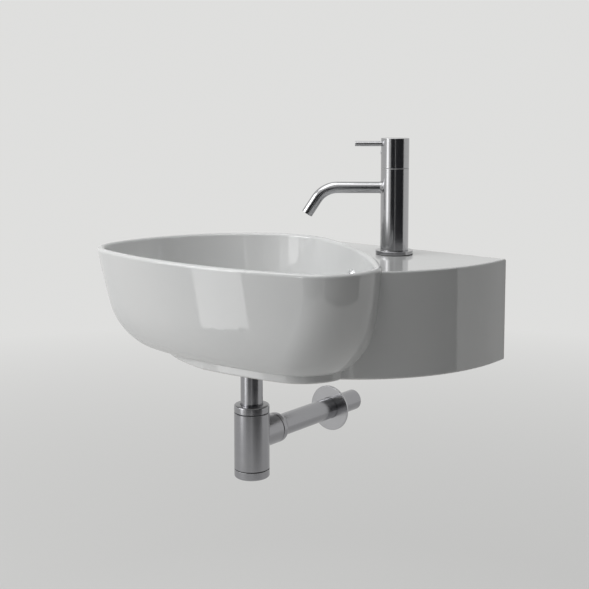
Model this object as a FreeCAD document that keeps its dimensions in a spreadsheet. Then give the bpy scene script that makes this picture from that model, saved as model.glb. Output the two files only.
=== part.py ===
import FreeCAD
import Part
import Sketcher

import math
import os
import re

from FreeCAD import Placement, Rotation, Vector

# Wall hung basin with its tap, click waste and bottle trap, in millimetres.
# The origin lies on the wall plane, midway between the two wall bolts and in the plane of
# the drain. X runs along the wall, the basin stands out towards -Y, and Z points up.
# "deck" is the flat top beside the bowl. Heights and depths of the waste, the trap and the
# tap are counted from the deck, and radial distances from the axis they belong to.

SIZES = {
    "deck_up": 55,                  # deck above the wall bolts
    "drain_out": 184,               # drain axis in front of the wall
    "bolt_spacing": 250,            # between the two wall bolts

    "block_tall": 140,              # height of the block under the deck
    "block_left": 155,              # left end of the block at the wall, from the drain plane
    "block_corner": 110,            # radius of the block's left front corner
    "block_arc": 246.8,             # radius of the block's front, from its right end
    "block_arc_x": 54.7,            # centre of that arc, from the drain plane
    "block_arc_out": 25.3,          # centre of that arc, in front of the wall
    "deck_thick": 12,               # ceramic at the deck
    "back_wall": 12,                # ceramic at the wall
    "ceramic_wall": 10,             # ceramic at the block's sides and the foot's ring
    "edge_round": 2.5,              # rounding of the block's edges

    "rim_up": 6,                    # rim of the bowl above the deck
    "rim_wide": 9.5,                # width of the rim
    "rim_round": 4,                 # rounding of the rim's edges
    "rim_left_x": -203.6,           # apex between the left side and the front
    "rim_left_out": 305.9,
    "rim_back_x": -40.5,            # apex at the wall, between the left and the right side
    "rim_back_out": -7.5,
    "rim_right_x": 280.3,           # apex between the right side and the front
    "rim_right_out": 265.5,
    "left_bulge": 75.9,             # rise of the left side over its chord
    "right_bulge": 35.7,            # rise of the right side over its chord
    "front_bulge": 51.4,            # rise of the front over its chord
    "left_corner": 74.7,            # radius of the left front corner
    "back_corner": 126,             # radius of the corner at the wall
    "right_corner": 75.8,           # radius of the right front corner

    "bowl_tall": 137,               # rim down to the underside of the bowl
    "bowl_lean": 0.124,             # inward lean of the walls, per unit of depth
    "bowl_slant": 0.094,            # slant of the whole bowl to the right, per unit of depth
    "corner_gain": 38,              # growth of the corner radii down to the underside
    "belly_high": 56,               # height of the rounding under the bowl
    "belly_wide": 44,               # width of that rounding
    "belly_aside": 0.575,           # share of that width by which the underside moves to the right
    "belly_ahead": 0.463,           # share of that width by which the underside moves to the front
    "bowl_deep": 121,               # rim down to the floor inside
    "inside_high": 56,              # height of the rounding inside
    "inside_wide": 44,              # width of that rounding
    "dish_deep": 4,                 # fall of the floor to the drain
    "dish_radius": 80,              # extent of that fall
    "dish_gap": 1.2,                # level seat in the floor beyond the waste's flange

    "foot_tall": 9,                 # height of the foot's ring under the bowl
    "foot_tuck": 1.5,               # foot behind the bowl's surface above it
    "foot_disc": 279,               # radius of the foot's front
    "foot_disc_x": 60,              # centre of that radius, from the drain plane
    "foot_disc_out": 28,            # centre of that radius, in front of the wall

    "overflow_down": 40,            # overflow hole below the rim
    "overflow_along": 170,          # overflow hole from the back apex, along the right side's chord
    "overflow_ring": 11,            # radius of the overflow ring
    "overflow_proud": 5,            # overflow ring inside the bowl's wall
    "overflow_flat": 1.5,           # flat seat of the ring, sunk in the bowl's wall
    "overflow_bore": 5.5,           # radius of the ring's opening
    "overflow_tube": 8,             # radius of the ring's tube
    "overflow_tube_long": 11,       # length of the ring's tube
    "duct_bore": 7,                 # radius of the overflow duct
    "duct_wall": 5,                 # ceramic round the duct
    "duct_floor_bore": 4,           # radius of the duct under the floor
    "duct_floor_up": 6,             # that duct's axis above the bowl's underside
    "overflow_lip": 0.7,            # chamfer of the ring's opening
    "overflow_round": 2,            # chamfer of the ring's outer edge

    "wall_hole": 8,                 # radius of the wall bolt holes in the ceramic
    "stud_bore": 5.25,              # radius left open for an M10 wall stud
    "sleeve_flange": 14,            # radius of the plastic sleeve's flange
    "sleeve_flange_thick": 3,
    "wall_washer": 13,              # radius of the steel washer
    "wall_washer_thick": 2,
    "wall_nut_flats": 17,           # across flats
    "wall_nut_tall": 8,

    "drain_hole": 22.5,             # radius of the drain hole
    "waste_thread": 20.9,           # radius of the waste's threaded body
    "waste_bore": 18.3,             # radius of the waste's bore
    "waste_flange": 31.5,           # radius of the waste's flange
    "waste_flange_thick": 2.5,
    "seal_thick": 1.5,              # rubber under the waste's flange
    "waste_end": 35,                # lower end of the waste below the bowl's underside
    "waste_slot_wide": 8,           # overflow slots in the waste's body
    "waste_slot_tall": 7,
    "foot_seal_thick": 3,           # rubber under the bowl
    "foot_seal_wide": 9,            # width of that rubber ring
    "back_nut": 29,                 # radius of the waste's back nut
    "back_nut_tall": 10,
    "hub_down": 21,                 # top of the waste's inner hub below the bowl's underside
    "hub_tall": 5,
    "hub_radius": 7,
    "arm_wide": 4,                  # arms between the hub and the bore

    "plug_radius": 30,              # radius of the plug's cap
    "plug_edge": 2,                 # thickness of the cap at its edge
    "plug_crown": 3.5,              # rise of the cap's dome
    "plug_lift": 9,                 # open gap between the cap and the flange
    "plug_stem_end": 8.6,           # lower end of the plug's stem below the bowl's underside, when open
    "plug_seal_outer": 17.2,        # radius of the plug's rubber
    "plug_seal_thick": 3,
    "click_radius": 6,              # radius of the click sleeve
    "click_wall": 1.2,
    "click_top": 3,                 # top of the click sleeve above the bowl's underside
    "plunger_radius": 4,            # radius of the plug's stem
    "spring_wall": 0.7,             # radial room that the coil spring takes up

    "tube_radius": 16,              # radius of the trap's tubes
    "tube_wall": 1,
    "inlet_nut_radius": 24.5,
    "inlet_nut_tall": 19,
    "inlet_washer_thick": 2,
    "inlet_flange": 20,             # radius of the inlet tube's flared end
    "inlet_flange_thick": 1.5,
    "nut_lip": 2.5,                 # thickness of a union nut's lip
    "collar_top": 46.6,             # top of the collar nut above the outlet axis
    "collar_tall": 10.4,
    "collar_chamfer": 1.5,
    "joint_gap": 1,                 # open line between the trap's screwed pieces
    "bottle_radius": 25.5,
    "bottle_wall": 2,
    "bottle_shoulder": 3,
    "bottle_end": 46.6,             # lower end of the bottle below the outlet axis
    "neck_thread": 22,              # radius of the bottle's threaded neck
    "neck_seal_thick": 3,
    "dip_end": 40.6,                # lower end of the inlet tube below the outlet axis
    "cup_end": 59.4,                # underside of the cup below the outlet axis
    "cup_floor": 2.5,
    "cup_collar": 8,                # height of the cup's threaded collar
    "cup_round": 2.5,               # rounding under the cup
    "outlet_down": 263.4,           # outlet axis below the deck
    "outlet_radius": 22,            # radius of the bottle's outlet stub and its nut
    "outlet_thread": 19.5,          # radius of the stub's thread
    "outlet_seam": 137,             # seam between the stub and its nut, in front of the wall
    "outlet_thread_end": 131,       # end of the stub's thread, in front of the wall
    "outlet_nut_end": 125,          # end of the outlet nut, in front of the wall
    "outlet_nut_round": 6,          # rounding of the outlet nut's end
    "pipe_start": 157,              # inner end of the outlet pipe, in front of the wall
    "pipe_beyond": 60,              # outlet pipe behind the wall plane
    "pipe_mark": 0.3,               # depth of the mark that stops the pipe at the wall
    "pipe_mark_wide": 1.5,
    "rosette_radius": 35.1,
    "rosette_proud": 3,
    "rosette_wall": 1.2,
    "rosette_seal_wide": 4,

    "tap_x": 155.4,                 # tap axis from the drain plane
    "tap_out": 55.6,                # tap axis in front of the wall
    "spout_turn": 218.55,           # direction of the spout, in degrees from +X
    "tap_hole": 17.5,               # radius of the tap hole in the deck
    "base_radius": 26.2,            # radius of the tap's base ring
    "base_top": 5.9,                # top of the base ring above the deck
    "base_bore": 15,                # radius of the base ring's opening
    "base_seal_thick": 1,
    "tap_radius": 19.75,            # radius of the tap's body and head
    "body_top": 121,
    "seat_up": 104,                 # cartridge seat above the deck
    "port_bore": 5,                 # radius of the inlet ports
    "port_deep": 12,
    "port_ahead": 6,                # ports from the tap axis, towards the spout
    "port_aside": 6.5,              # ports from the tap axis, to each side
    "channel_bore": 2.8,            # radius of the water channels
    "spout_up": 93.9,               # spout axis above the deck
    "spout_radius": 8,
    "spout_wall": 1.2,
    "spout_root": 17,               # start of the spout from the tap axis
    "spout_reach": 80,              # end of the spout's straight part from the tap axis
    "spout_bend": 35,               # radius of the bend
    "spout_angle": 57,              # turn of the bend, in degrees
    "spout_drop": 25,               # straight length after the bend
    "spout_bead": 1.5,              # weld bead round the spout's root
    "aerator_long": 9,
    "aerator_sunk": 0.5,            # aerator behind the spout's end
    "aerator_wall": 1.2,
    "aerator_grid": 5,              # height of the aerator's insert
    "aerator_hole": 0.8,            # radius of the insert's holes
    "aerator_pitch": 2.1,           # between its rings of holes
    "cartridge_radius": 13,
    "cartridge_tall": 18,           # seat to the cartridge's shoulder
    "cartridge_neck": 10.8,         # radius of the cartridge's neck
    "cartridge_top": 132,           # top of the neck above the deck
    "cartridge_wall": 2,
    "disc_radius": 10.5,            # radius of the ceramic discs
    "disc_thick": 3,
    "disc_mouth": 2.2,              # radius of the mouths in the discs
    "disc_mouth_ahead": 4.2,        # mouths from the tap axis, towards the spout
    "disc_mouth_aside": 5.2,        # mouths from the tap axis, to each side
    "stem_radius": 4,
    "stem_flange": 9.5,
    "stem_flange_thick": 3,
    "stem_top": 149,                # top of the stem above the deck
    "ring_nut_radius": 15.5,
    "ring_nut_start": 114,          # lower end of the ring nut above the deck
    "ring_nut_top": 126,
    "glide_thick": 0.35,            # thickness of the glide ring under the head
    "glide_inset": 0.6,             # glide ring behind the body's surface
    "head_gap": 0.05,               # running gap above the glide ring
    "head_top": 163,
    "head_hollow": 17,              # radius of the hollow in the head
    "head_hollow_top": 138,
    "lever_up": 155.2,              # lever axis above the deck
    "lever_radius": 3.6,
    "lever_end": 56,                # end of the lever from the tap axis
    "lever_shank": 2.5,             # radius of the lever's threaded shank
    "lever_shank_start": 9,
    "screw_up": 143,                # screw axis above the deck
    "screw_radius": 2.5,
    "screw_long": 7,
    "index_start": 15.5,            # inner end of the index cap from the tap axis
    "index_proud": 0.7,
    "stud_back": 9,                 # tap stud behind the tap axis
    "tap_stud_radius": 4,
    "tap_stud_in": 9,               # length of the stud in the body
    "tap_stud_end": 40,             # lower end of the stud below the deck
    "clamp_radius": 24,             # radius of the clamp under the deck
    "clamp_seal_thick": 3,
    "clamp_plate_thick": 2.5,
    "clamp_slot": 12.6,             # half width of the clamp's mouth
    "clamp_slot_ahead": 9,          # centre of the mouth's round end
    "tap_nut_flats": 13,
    "tap_nut_tall": 6.5,

    "fit_gap": 0.05,                # radial gap of pieces that turn or slide in a bore
    "thread_gap": 0.15,             # radial gap of threads that are drawn plain
    "seat_gap": 0.3,                # radial gap of rubber and tubes in their seats
    "small_chamfer": 0.5,           # chamfer on turned metal edges
    "overcut": 1,                   # overrun of a cutting solid past the face that it opens
}

doc = FreeCAD.newDocument("wall_hung_basin")


def fill_sheet():
    """Write every driving size into the sheet, under its alias."""
    sheet = doc.addObject("Spreadsheet::Sheet", "Sizes")
    for row, (alias, size) in enumerate(SIZES.items(), 1):
        sheet.set("A%d" % row, alias)
        sheet.set("B%d" % row, str(size))
        sheet.setAlias("B%d" % row, alias)
    doc.recompute()
    return sheet


SHEET = fill_sheet()
ALIAS = re.compile(r"\b(" + "|".join(sorted(SIZES, key=len, reverse=True)) + r")\b")
SUBPARTS = []

SAME_PLACE = 1e-4
BOWL_STEPS = 6

ACROSS = Rotation(Vector(1, 0, 0), -90)
UPRIGHT = Rotation()


def formula(text):
    """The expression for a size written with the sheet's aliases."""
    return ALIAS.sub(r"Sizes.\1", text)


def value(text):
    """The number that such an expression gives now."""
    return float(SHEET.evalExpression(formula(text)))


TO_SPOUT = Rotation(Vector(0, 0, 1), value("spout_turn"))
ALONG_SPOUT = TO_SPOUT.multiply(Rotation(Vector(0, 1, 0), 90))

# Points that groups of pieces stand on, as expressions for X, Y and Z.
DRAIN = ("0", "-drain_out", "deck_up")
OUTLET = ("0", "0", "deck_up - outlet_down")
UNDERSIDE = "rim_up - bowl_tall"
WASTE_END = "(rim_up - bowl_tall - waste_end)"
HUB_TOP = "(rim_up - bowl_tall - hub_down)"
STEM_END = "(rim_up - bowl_tall - plug_stem_end)"
CLICK_TOP = "(rim_up - bowl_tall + click_top)"
COLLAR_TOP = "(-outlet_down + collar_top)"
BOTTLE_END = "(-outlet_down - bottle_end)"
DIP_END = "(-outlet_down - dip_end)"
CUP_END = "(-outlet_down - cup_end)"
TAP = ("tap_x", "-tap_out", "deck_up")
RIGHT_BOLT = ("bolt_spacing / 2", "0", "0")


def raised(place, height):
    """A point at a height above another one."""
    return (place[0], place[1], place[2] + " + " + height)


def put(obj, place, rotation=UPRIGHT):
    """Set an object's placement, with its base bound to the sheet."""
    obj.Placement = Placement(Vector(*[value(text) for text in place]), rotation)
    for axis, text in zip("xyz", place):
        obj.setExpression("Placement.Base." + axis, formula(text))


def subpart(obj, label):
    """Give an object its own label and list it for export."""
    obj.Label = label
    SUBPARTS.append(obj)
    return obj


def origin_plane(body, role):
    """One of a body's own origin planes."""
    return next(item for item in body.Origin.OriginFeatures if item.Role == role)


def profile_sketch(body, points):
    """Closed sketch of straight lines through points written as pairs of expressions."""
    sketch = body.newObject("Sketcher::SketchObject", body.Name + "_sketch")
    sketch.AttachmentSupport = [(origin_plane(body, "XZ_Plane"), "")]
    sketch.MapMode = "FlatFace"
    corners = [Vector(value(across), value(up), 0) for across, up in points]
    last = len(corners) - 1
    for index in range(len(corners)):
        sketch.addGeometry(Part.LineSegment(corners[index], corners[0 if index == last else index + 1]))
    for index in range(len(corners)):
        before = last if index == 0 else index - 1
        sketch.addConstraint(Sketcher.Constraint("Coincident", before, 2, index, 1))
    for index, pair in enumerate(points):
        for kind, text in zip(("DistanceX", "DistanceY"), pair):
            place = sketch.addConstraint(Sketcher.Constraint(kind, -1, 1, index, 1, value(text)))
            sketch.setExpression("Constraints[%d]" % place, formula(text))
    return sketch


def turn_profile(body, points):
    """Revolve a profile of radii and heights about the body's Z axis."""
    sketch = profile_sketch(body, points)
    feature = body.newObject("PartDesign::Revolution", body.Name + "_turned")
    feature.Profile = sketch
    feature.ReferenceAxis = (sketch, ["V_Axis"])
    feature.Angle = 360
    sketch.Visibility = False
    return feature


def ring(inner, outer, low, high):
    """Profile of a plain ring."""
    return [(inner, low), (outer, low), (outer, high), (inner, high)]


def chamfered(inner, outer, low, high, cut="small_chamfer"):
    """Profile of a ring whose two outer edges are chamfered."""
    return [
        (inner, low),
        (outer + " - " + cut, low),
        (outer, low + " + " + cut),
        (outer, high + " - " + cut),
        (outer + " - " + cut, high),
        (inner, high),
    ]


def dome(radius, low, rise):
    """Profile points of a dome, from its edge to its top, on a quarter of an ellipse."""
    points = [
        ("%s * cos(%d deg)" % (radius, turn), "%s + %s * sin(%d deg)" % (low, rise, turn))
        for turn in range(15, 90, 15)
    ]
    return points + [("0", "%s + %s" % (low, rise))]


def turned(label, points, place, rotation=UPRIGHT, export=True):
    """A body turned from one profile."""
    body = doc.addObject("PartDesign::Body", label)
    turn_profile(body, points)
    put(body, place, rotation)
    if export:
        subpart(body, label)
    return body


def primitive(kind, name, place, rotation=UPRIGHT, **sizes):
    """A Part primitive whose sizes and place are bound to the sheet."""
    obj = doc.addObject("Part::" + kind, name)
    for key, text in sizes.items():
        setattr(obj, key, value(text))
        obj.setExpression(key, formula(text))
    put(obj, place, rotation)
    return obj


def boolean(kind, name, base, tool):
    """Cut, fuse or common of two objects."""
    obj = doc.addObject("Part::" + kind, name)
    obj.Base = base
    obj.Tool = tool
    return obj


def fused(name, shapes):
    """Fusion of several objects."""
    obj = doc.addObject("Part::MultiFuse", name)
    obj.Shapes = shapes
    return obj


def bar(name, place, turn, start, sizes):
    """Box that runs outwards from a distance off a point, turned about Z and centred on its width."""
    length, wide, tall = sizes
    cos = "cos(%d deg)" % turn
    sin = "sin(%d deg)" % turn
    base = (
        "%s + %s * %s + %s / 2 * %s" % (place[0], start, cos, wide, sin),
        "%s + %s * %s - %s / 2 * %s" % (place[1], start, sin, wide, cos),
        place[2],
    )
    rotation = Rotation(Vector(0, 0, 1), turn)
    return primitive("Box", name, base, rotation, Length=length, Width=wide, Height=tall)


def hex_nut(name, flats, bore, tall, place, rotation=UPRIGHT):
    """Hexagon nut standing on its place, with a plain bore."""
    outside = primitive(
        "Prism", name + "_hexagon", place, rotation, Circumradius=flats + " / sqrt(3)", Height=tall)
    outside.Polygon = 6
    inside = primitive("Cylinder", name + "_bore", place, rotation, Radius=bore, Height=tall)
    return boolean("Cut", name + "_nut", outside, inside)


def mirrored_pair(label, single):
    """One piece and its mirror image across the drain plane, as a group of two solids."""
    twin = doc.addObject("Part::Mirroring", label + "_twin")
    twin.Source = single
    twin.Base = Vector(0, 0, 0)
    twin.Normal = Vector(1, 0, 0)
    both = doc.addObject("Part::Compound", label + "_pair")
    both.Links = [single, twin]
    return subpart(both, label)


# ---------------------------------------------------------------- the ceramic basin


def flat(x, out, height):
    """A point from its X, its distance in front of the wall and its height."""
    return Vector(x, -out, height)


def crossing(centre1, radius1, centre2, radius2, near):
    """The point where two circles cross that is nearer to a given point."""
    gap = centre2 - centre1
    along = (radius1 ** 2 - radius2 ** 2 + gap.Length ** 2) / (2 * gap.Length)
    aside = math.sqrt(radius1 ** 2 - along ** 2)
    unit = gap / gap.Length
    normal = Vector(-unit.y, unit.x, 0)
    both = [centre1 + unit * along + normal * (sign * aside) for sign in (1, -1)]
    return min(both, key=lambda point: (point - near).Length)


class Triangle:
    """Rounded triangle of the bowl: three bulged sides joined by three tangent corners."""

    def __init__(self):
        self.apexes = [
            flat(value("rim_left_x"), value("rim_left_out"), 0),
            flat(value("rim_back_x"), value("rim_back_out"), 0),
            flat(value("rim_right_x"), value("rim_right_out"), 0),
        ]
        self.corners = [value("left_corner"), value("back_corner"), value("right_corner")]
        middle = (self.apexes[0] + self.apexes[1] + self.apexes[2]) / 3
        self.centres = []
        self.radii = []
        for index, bulge in enumerate((value("left_bulge"), value("right_bulge"), value("front_bulge"))):
            start = self.apexes[index]
            end = self.apexes[(index + 1) % 3]
            chord = end - start
            half = (start + end) / 2
            outward = Vector(-chord.y, chord.x, 0) / chord.Length
            if outward.dot(half - middle) < 0:
                outward = -outward
            radius = (chord.Length ** 2 / 4 + bulge ** 2) / (2 * bulge)
            self.centres.append(half - outward * (radius - bulge))
            self.radii.append(radius)

    def outline(self, inset, gain, height):
        """Closed wire of the triangle drawn in by an inset, with corner radii grown by a gain."""
        sides = [radius - inset for radius in self.radii]
        rounds = [radius - inset + gain for radius in self.corners]
        corners = []
        for index in range(3):
            before = index - 1
            corners.append(crossing(
                self.centres[before], sides[before] - rounds[index],
                self.centres[index], sides[index] - rounds[index], self.apexes[index]))
        lift = Vector(0, 0, height)
        edges = []
        for index in range(3):
            start = self.touch(corners[index], rounds[index], self.centres[index - 1])
            end = self.touch(corners[index], rounds[index], self.centres[index])
            edges.append(arc_between(corners[index] + lift, rounds[index], start + lift, end + lift))
            after = (index + 1) % 3
            far = self.touch(corners[after], rounds[after], self.centres[index])
            edges.append(arc_between(self.centres[index] + lift, sides[index], end + lift, far + lift))
        return Part.Wire(edges)

    def touch(self, corner, radius, centre):
        """The point where a corner's arc meets a side's arc."""
        away = corner - centre
        return corner + away / away.Length * radius


def arc_between(centre, radius, start, end):
    """The short arc about a centre from one point to another."""
    middle = (start + end) / 2 - centre
    return Part.Arc(start, centre + middle / middle.Length * radius, end).toShape()


def bowl_section(triangle, depth, deep, first_inset, high, wide):
    """Closed wire round the bowl at a depth under its rim."""
    round_part = max(0, depth - deep + high) / high
    rounding = wide * (1 - math.sqrt(max(0, 1 - round_part ** 2)))
    inset = first_inset + value("bowl_lean") * depth + rounding
    gain = value("corner_gain") * (max(0, depth) / value("bowl_tall")) ** 2
    wire = triangle.outline(inset, gain, value("deck_up + rim_up") - depth)
    aside = value("bowl_slant") * depth + value("belly_aside") * rounding
    wire.translate(Vector(aside, -value("belly_ahead") * rounding, 0))
    return wire


def bowl_form(triangle, top, deep, first_inset, high, wide):
    """Solid of the bowl, outside or inside: leaning walls over a quarter-elliptic rounding."""
    upright = deep - high
    depths = [top + (upright - top) * step / BOWL_STEPS for step in range(BOWL_STEPS)]
    for step in range(BOWL_STEPS + 1):
        depths.append(upright + high * math.sin(math.pi / 2 * step / BOWL_STEPS))
    wires = [bowl_section(triangle, depth, deep, first_inset, high, wide) for depth in depths]
    return Part.makeLoft(wires, True, False)


def block_form(inset, low, high):
    """Solid of the block, drawn in by an inset at its sides."""
    left = -value("block_left") + inset
    front = value("block_arc") - inset
    corner = value("block_corner") - inset
    front_centre = flat(value("block_arc_x"), value("block_arc_out"), low)
    across = left + corner - front_centre.x
    down = math.sqrt((front - corner) ** 2 - across ** 2)
    corner_centre = front_centre + Vector(across, -down, 0)
    right = front_centre.x + front
    meeting = corner_centre + Vector(across, -down, 0) / (front - corner) * corner
    points = [
        Vector(left, 0, low),
        Vector(right, 0, low),
        Vector(right, front_centre.y, low),
        meeting,
        Vector(left, corner_centre.y, low),
    ]
    edges = [
        Part.LineSegment(points[0], points[1]).toShape(),
        Part.LineSegment(points[1], points[2]).toShape(),
        arc_between(front_centre, front, points[2], points[3]),
        arc_between(corner_centre, corner, points[3], points[4]),
        Part.LineSegment(points[4], points[0]).toShape(),
    ]
    return Part.Face(Part.Wire(edges)).extrude(Vector(0, 0, high - low))


def foot_form(triangle, inset, low, high, edge=0):
    """Solid of the foot: the bowl's underside carried down, bounded by the front's round disc."""
    tall = value("bowl_tall")
    wire = bowl_section(triangle, tall - value("edge_round"), tall, inset + value("foot_tuck"),
                        value("belly_high"), value("belly_wide"))
    wire.translate(Vector(0, 0, low - wire.BoundBox.ZMin))
    prism = Part.Face(wire).extrude(Vector(0, 0, high - low))
    centre = flat(value("foot_disc_x"), value("foot_disc_out"), low)
    disc = Part.makeCylinder(value("foot_disc") - inset, high - low, centre)
    if edge:
        prism = prism.makeFillet(edge, edges_at(prism, low))
        disc = disc.makeFillet(edge, edges_at(disc, low))
    return prism.common(disc)


def edges_at(shape, height, off_wall=False):
    """Edges of a shape that lie in one level, without those on the wall plane if asked."""
    found = []
    for edge in shape.Edges:
        box = edge.BoundBox
        level = abs(box.ZMin - height) < SAME_PLACE and abs(box.ZMax - height) < SAME_PLACE
        if level and not (off_wall and abs(box.YMin) < SAME_PLACE):
            found.append(edge)
    return found


def overflow_frame(triangle):
    """Seat of the overflow ring on the bowl's inner wall, and the way out through it."""
    start = triangle.apexes[1]
    chord = triangle.apexes[2] - start
    centre = triangle.centres[1]
    down = value("overflow_down")
    inset = value("rim_wide") + value("bowl_lean") * down
    aim = start + chord / chord.Length * value("overflow_along") - centre
    outward = aim / aim.Length
    seat = centre + outward * (triangle.radii[1] - inset + value("overflow_flat"))
    seat.x += value("bowl_slant") * down
    seat.z = value("deck_up + rim_up") - down
    return seat, outward


def basin_shape():
    """The ceramic: bowl, block and foot in one, with its hollows and holes."""
    triangle = Triangle()
    deck = value("deck_up")
    rim = value("deck_up + rim_up")
    bottom = value("deck_up - block_tall")
    under = rim - value("bowl_tall")
    ground = under - value("foot_tall")
    over = value("overcut")
    outside = bowl_form(triangle, 0, value("bowl_tall"), 0, value("belly_high"), value("belly_wide"))
    inside = bowl_form(triangle, -over, value("bowl_deep"), value("rim_wide"),
                       value("inside_high"), value("inside_wide"))
    block = block_form(0, bottom, deck)
    rounded = edges_at(block, deck, off_wall=True) + edges_at(block, bottom, off_wall=True)
    block = block.makeFillet(value("edge_round"), rounded)
    foot = foot_form(triangle, 0, ground, under + value("edge_round"), value("edge_round"))
    hollow = block_form(value("ceramic_wall"), bottom - over, deck - value("deck_thick"))
    back = Part.makeBox(value("2 * block_arc"), value("back_wall"), value("block_tall + overcut"),
                        Vector(value("block_arc_x - block_arc"), -value("back_wall"), bottom - over))
    hollow = hollow.cut([back, outside])
    recess = foot_form(triangle, value("ceramic_wall"), ground - over, under)

    seat, outward = overflow_frame(triangle)
    duct_foot = under + value("duct_floor_up")
    wall_out = value("ceramic_wall") + value("duct_bore")
    duct = Vector(seat.x, seat.y, duct_foot) + outward * wall_out
    drain = flat(0, value("drain_out"), 0)
    run = Vector(drain.x - duct.x, drain.y - duct.y, 0)
    rise = seat.z + value("overflow_tube") - duct_foot
    rib_radius = value("duct_bore + duct_wall")
    floor_rib = value("duct_floor_bore + duct_wall")
    rib = Part.makeCylinder(rib_radius, rise + value("duct_wall"), duct)
    rib = rib.fuse(Part.makeSphere(rib_radius, duct))
    cross_rib = Part.makeCylinder(floor_rib, run.Length / 2, duct, run)

    solid = block.fuse([foot, outside]).cut(hollow).cut(recess)
    solid = solid.fuse([rib, cross_rib]).cut(inside)
    solid = solid.makeFillet(value("rim_round"), edges_at(solid, rim))

    floor = rim - value("bowl_deep")
    dish_foot = Vector(drain.x, drain.y, floor - value("dish_deep"))
    dish = Part.makeCone(
        value("waste_flange + dish_gap"), value("dish_radius"), value("dish_deep"), dish_foot)
    drain_foot = Vector(drain.x, drain.y, under - over)
    drain_hole = Part.makeCylinder(value("drain_hole"), value("bowl_tall"), drain_foot)
    holes = [
        dish,
        drain_hole,
        Part.makeCylinder(value("duct_bore"), rise, duct),
        Part.makeCylinder(value("duct_floor_bore"), run.Length, duct, run),
        Part.makeCylinder(value("overflow_tube + seat_gap"), wall_out, seat, outward),
        Part.makeCylinder(value("overflow_ring + seat_gap"), value("ceramic_wall"), seat, -outward),
        Part.makeCylinder(value("tap_hole"), value("block_tall"),
                          flat(value("tap_x"), value("tap_out"), deck - value("deck_thick") - over)),
    ]
    for side in (1, -1):
        centre = Vector(side * value("bolt_spacing") / 2, over, 0)
        through = value("back_wall + 2 * overcut")
        holes.append(Part.makeCylinder(value("wall_hole"), through, centre, Vector(0, -1, 0)))
    for hole in holes:
        solid = solid.cut(hole)
    return solid.removeSplitter()


def ceramic_group():
    """The basin and its overflow ring."""
    basin = doc.addObject("Part::Feature", "basin")
    basin.Shape = basin_shape()
    subpart(basin, "basin_ceramic")

    seat, outward = overflow_frame(Triangle())
    points = [
        ("overflow_bore", "overflow_tube_long"),
        ("overflow_bore", "-overflow_proud + overflow_lip"),
        ("overflow_bore + overflow_lip", "-overflow_proud"),
        ("overflow_ring - overflow_round", "-overflow_proud"),
        ("overflow_ring", "-overflow_proud + overflow_round"),
        ("overflow_ring", "0"),
        ("overflow_tube", "0"),
        ("overflow_tube", "overflow_tube_long"),
    ]
    body = doc.addObject("PartDesign::Body", "overflow_ring_body")
    turn_profile(body, points)
    body.Placement = Placement(seat, Rotation(Vector(0, 0, 1), outward))
    subpart(body, "overflow_ring")


def wall_fixings():
    """Sleeves, washers and nuts that clamp the basin's back to the two wall bolts."""
    out_of_wall = Rotation(Vector(1, 0, 0), 90)
    sleeve = turned("wall_sleeve", [
        ("stud_bore", "0"),
        ("wall_hole - seat_gap", "0"),
        ("wall_hole - seat_gap", "back_wall"),
        ("sleeve_flange", "back_wall"),
        ("sleeve_flange", "back_wall + sleeve_flange_thick"),
        ("stud_bore", "back_wall + sleeve_flange_thick"),
    ], RIGHT_BOLT, out_of_wall, export=False)
    mirrored_pair("wall_sleeves", sleeve)
    washer = turned("wall_washer", ring(
        "stud_bore", "wall_washer",
        "back_wall + sleeve_flange_thick", "back_wall + sleeve_flange_thick + wall_washer_thick",
    ), RIGHT_BOLT, out_of_wall, export=False)
    mirrored_pair("wall_washers", washer)
    nut_place = (RIGHT_BOLT[0], "-(back_wall + sleeve_flange_thick + wall_washer_thick)", RIGHT_BOLT[2])
    nut = hex_nut("wall", "wall_nut_flats", "stud_bore", "wall_nut_tall", nut_place, out_of_wall)
    mirrored_pair("wall_nuts", nut)


# ---------------------------------------------------------------- the click waste

DRAIN_SEAT = "rim_up - bowl_deep - dish_deep"
FLANGE_LOW = DRAIN_SEAT + " + seal_thick"
FLANGE_TOP = FLANGE_LOW + " + waste_flange_thick"
BACK_NUT_TOP = UNDERSIDE + " - foot_seal_thick"
CAP_LOW = FLANGE_TOP + " + plug_lift"


def waste_body():
    """Flanged and threaded waste, with overflow slots, a hub and its arms."""
    body = doc.addObject("PartDesign::Body", "waste")
    turn_profile(body, [
        ("waste_bore", WASTE_END),
        ("waste_thread - small_chamfer", WASTE_END),
        ("waste_thread", WASTE_END + " + small_chamfer"),
        ("waste_thread", FLANGE_LOW),
        ("waste_flange", FLANGE_LOW),
        ("waste_flange", FLANGE_TOP + " - small_chamfer"),
        ("waste_flange - small_chamfer", FLANGE_TOP),
        ("waste_bore + small_chamfer", FLANGE_TOP),
        ("waste_bore", FLANGE_TOP + " - small_chamfer"),
    ])
    put(body, DRAIN)
    slot_place = raised(DRAIN, UNDERSIDE + " + duct_floor_up - waste_slot_tall / 2")
    slot_sizes = ("2 * waste_flange", "waste_slot_wide", "waste_slot_tall")
    slots = [bar("waste_slot_%d" % turn, slot_place, turn, "-waste_flange", slot_sizes) for turn in (0, 90)]
    slotted = boolean("Cut", "waste_slotted", body, fused("waste_slots", slots))
    hub_place = raised(DRAIN, HUB_TOP + " - hub_tall")
    hub = primitive("Cylinder", "waste_hub", hub_place, Radius="hub_radius", Height="hub_tall")
    arm_sizes = ("waste_bore + fit_gap", "arm_wide", "hub_tall")
    arms = [bar("waste_arm_%d" % turn, hub_place, turn, "0", arm_sizes) for turn in (0, 120, 240)]
    whole = fused("waste_whole", [slotted, hub] + arms)
    bore = primitive(
        "Cylinder", "waste_hub_bore", hub_place, Radius="click_radius - click_wall", Height="hub_tall")
    subpart(boolean("Cut", "waste_done", whole, bore), "waste_body")


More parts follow.
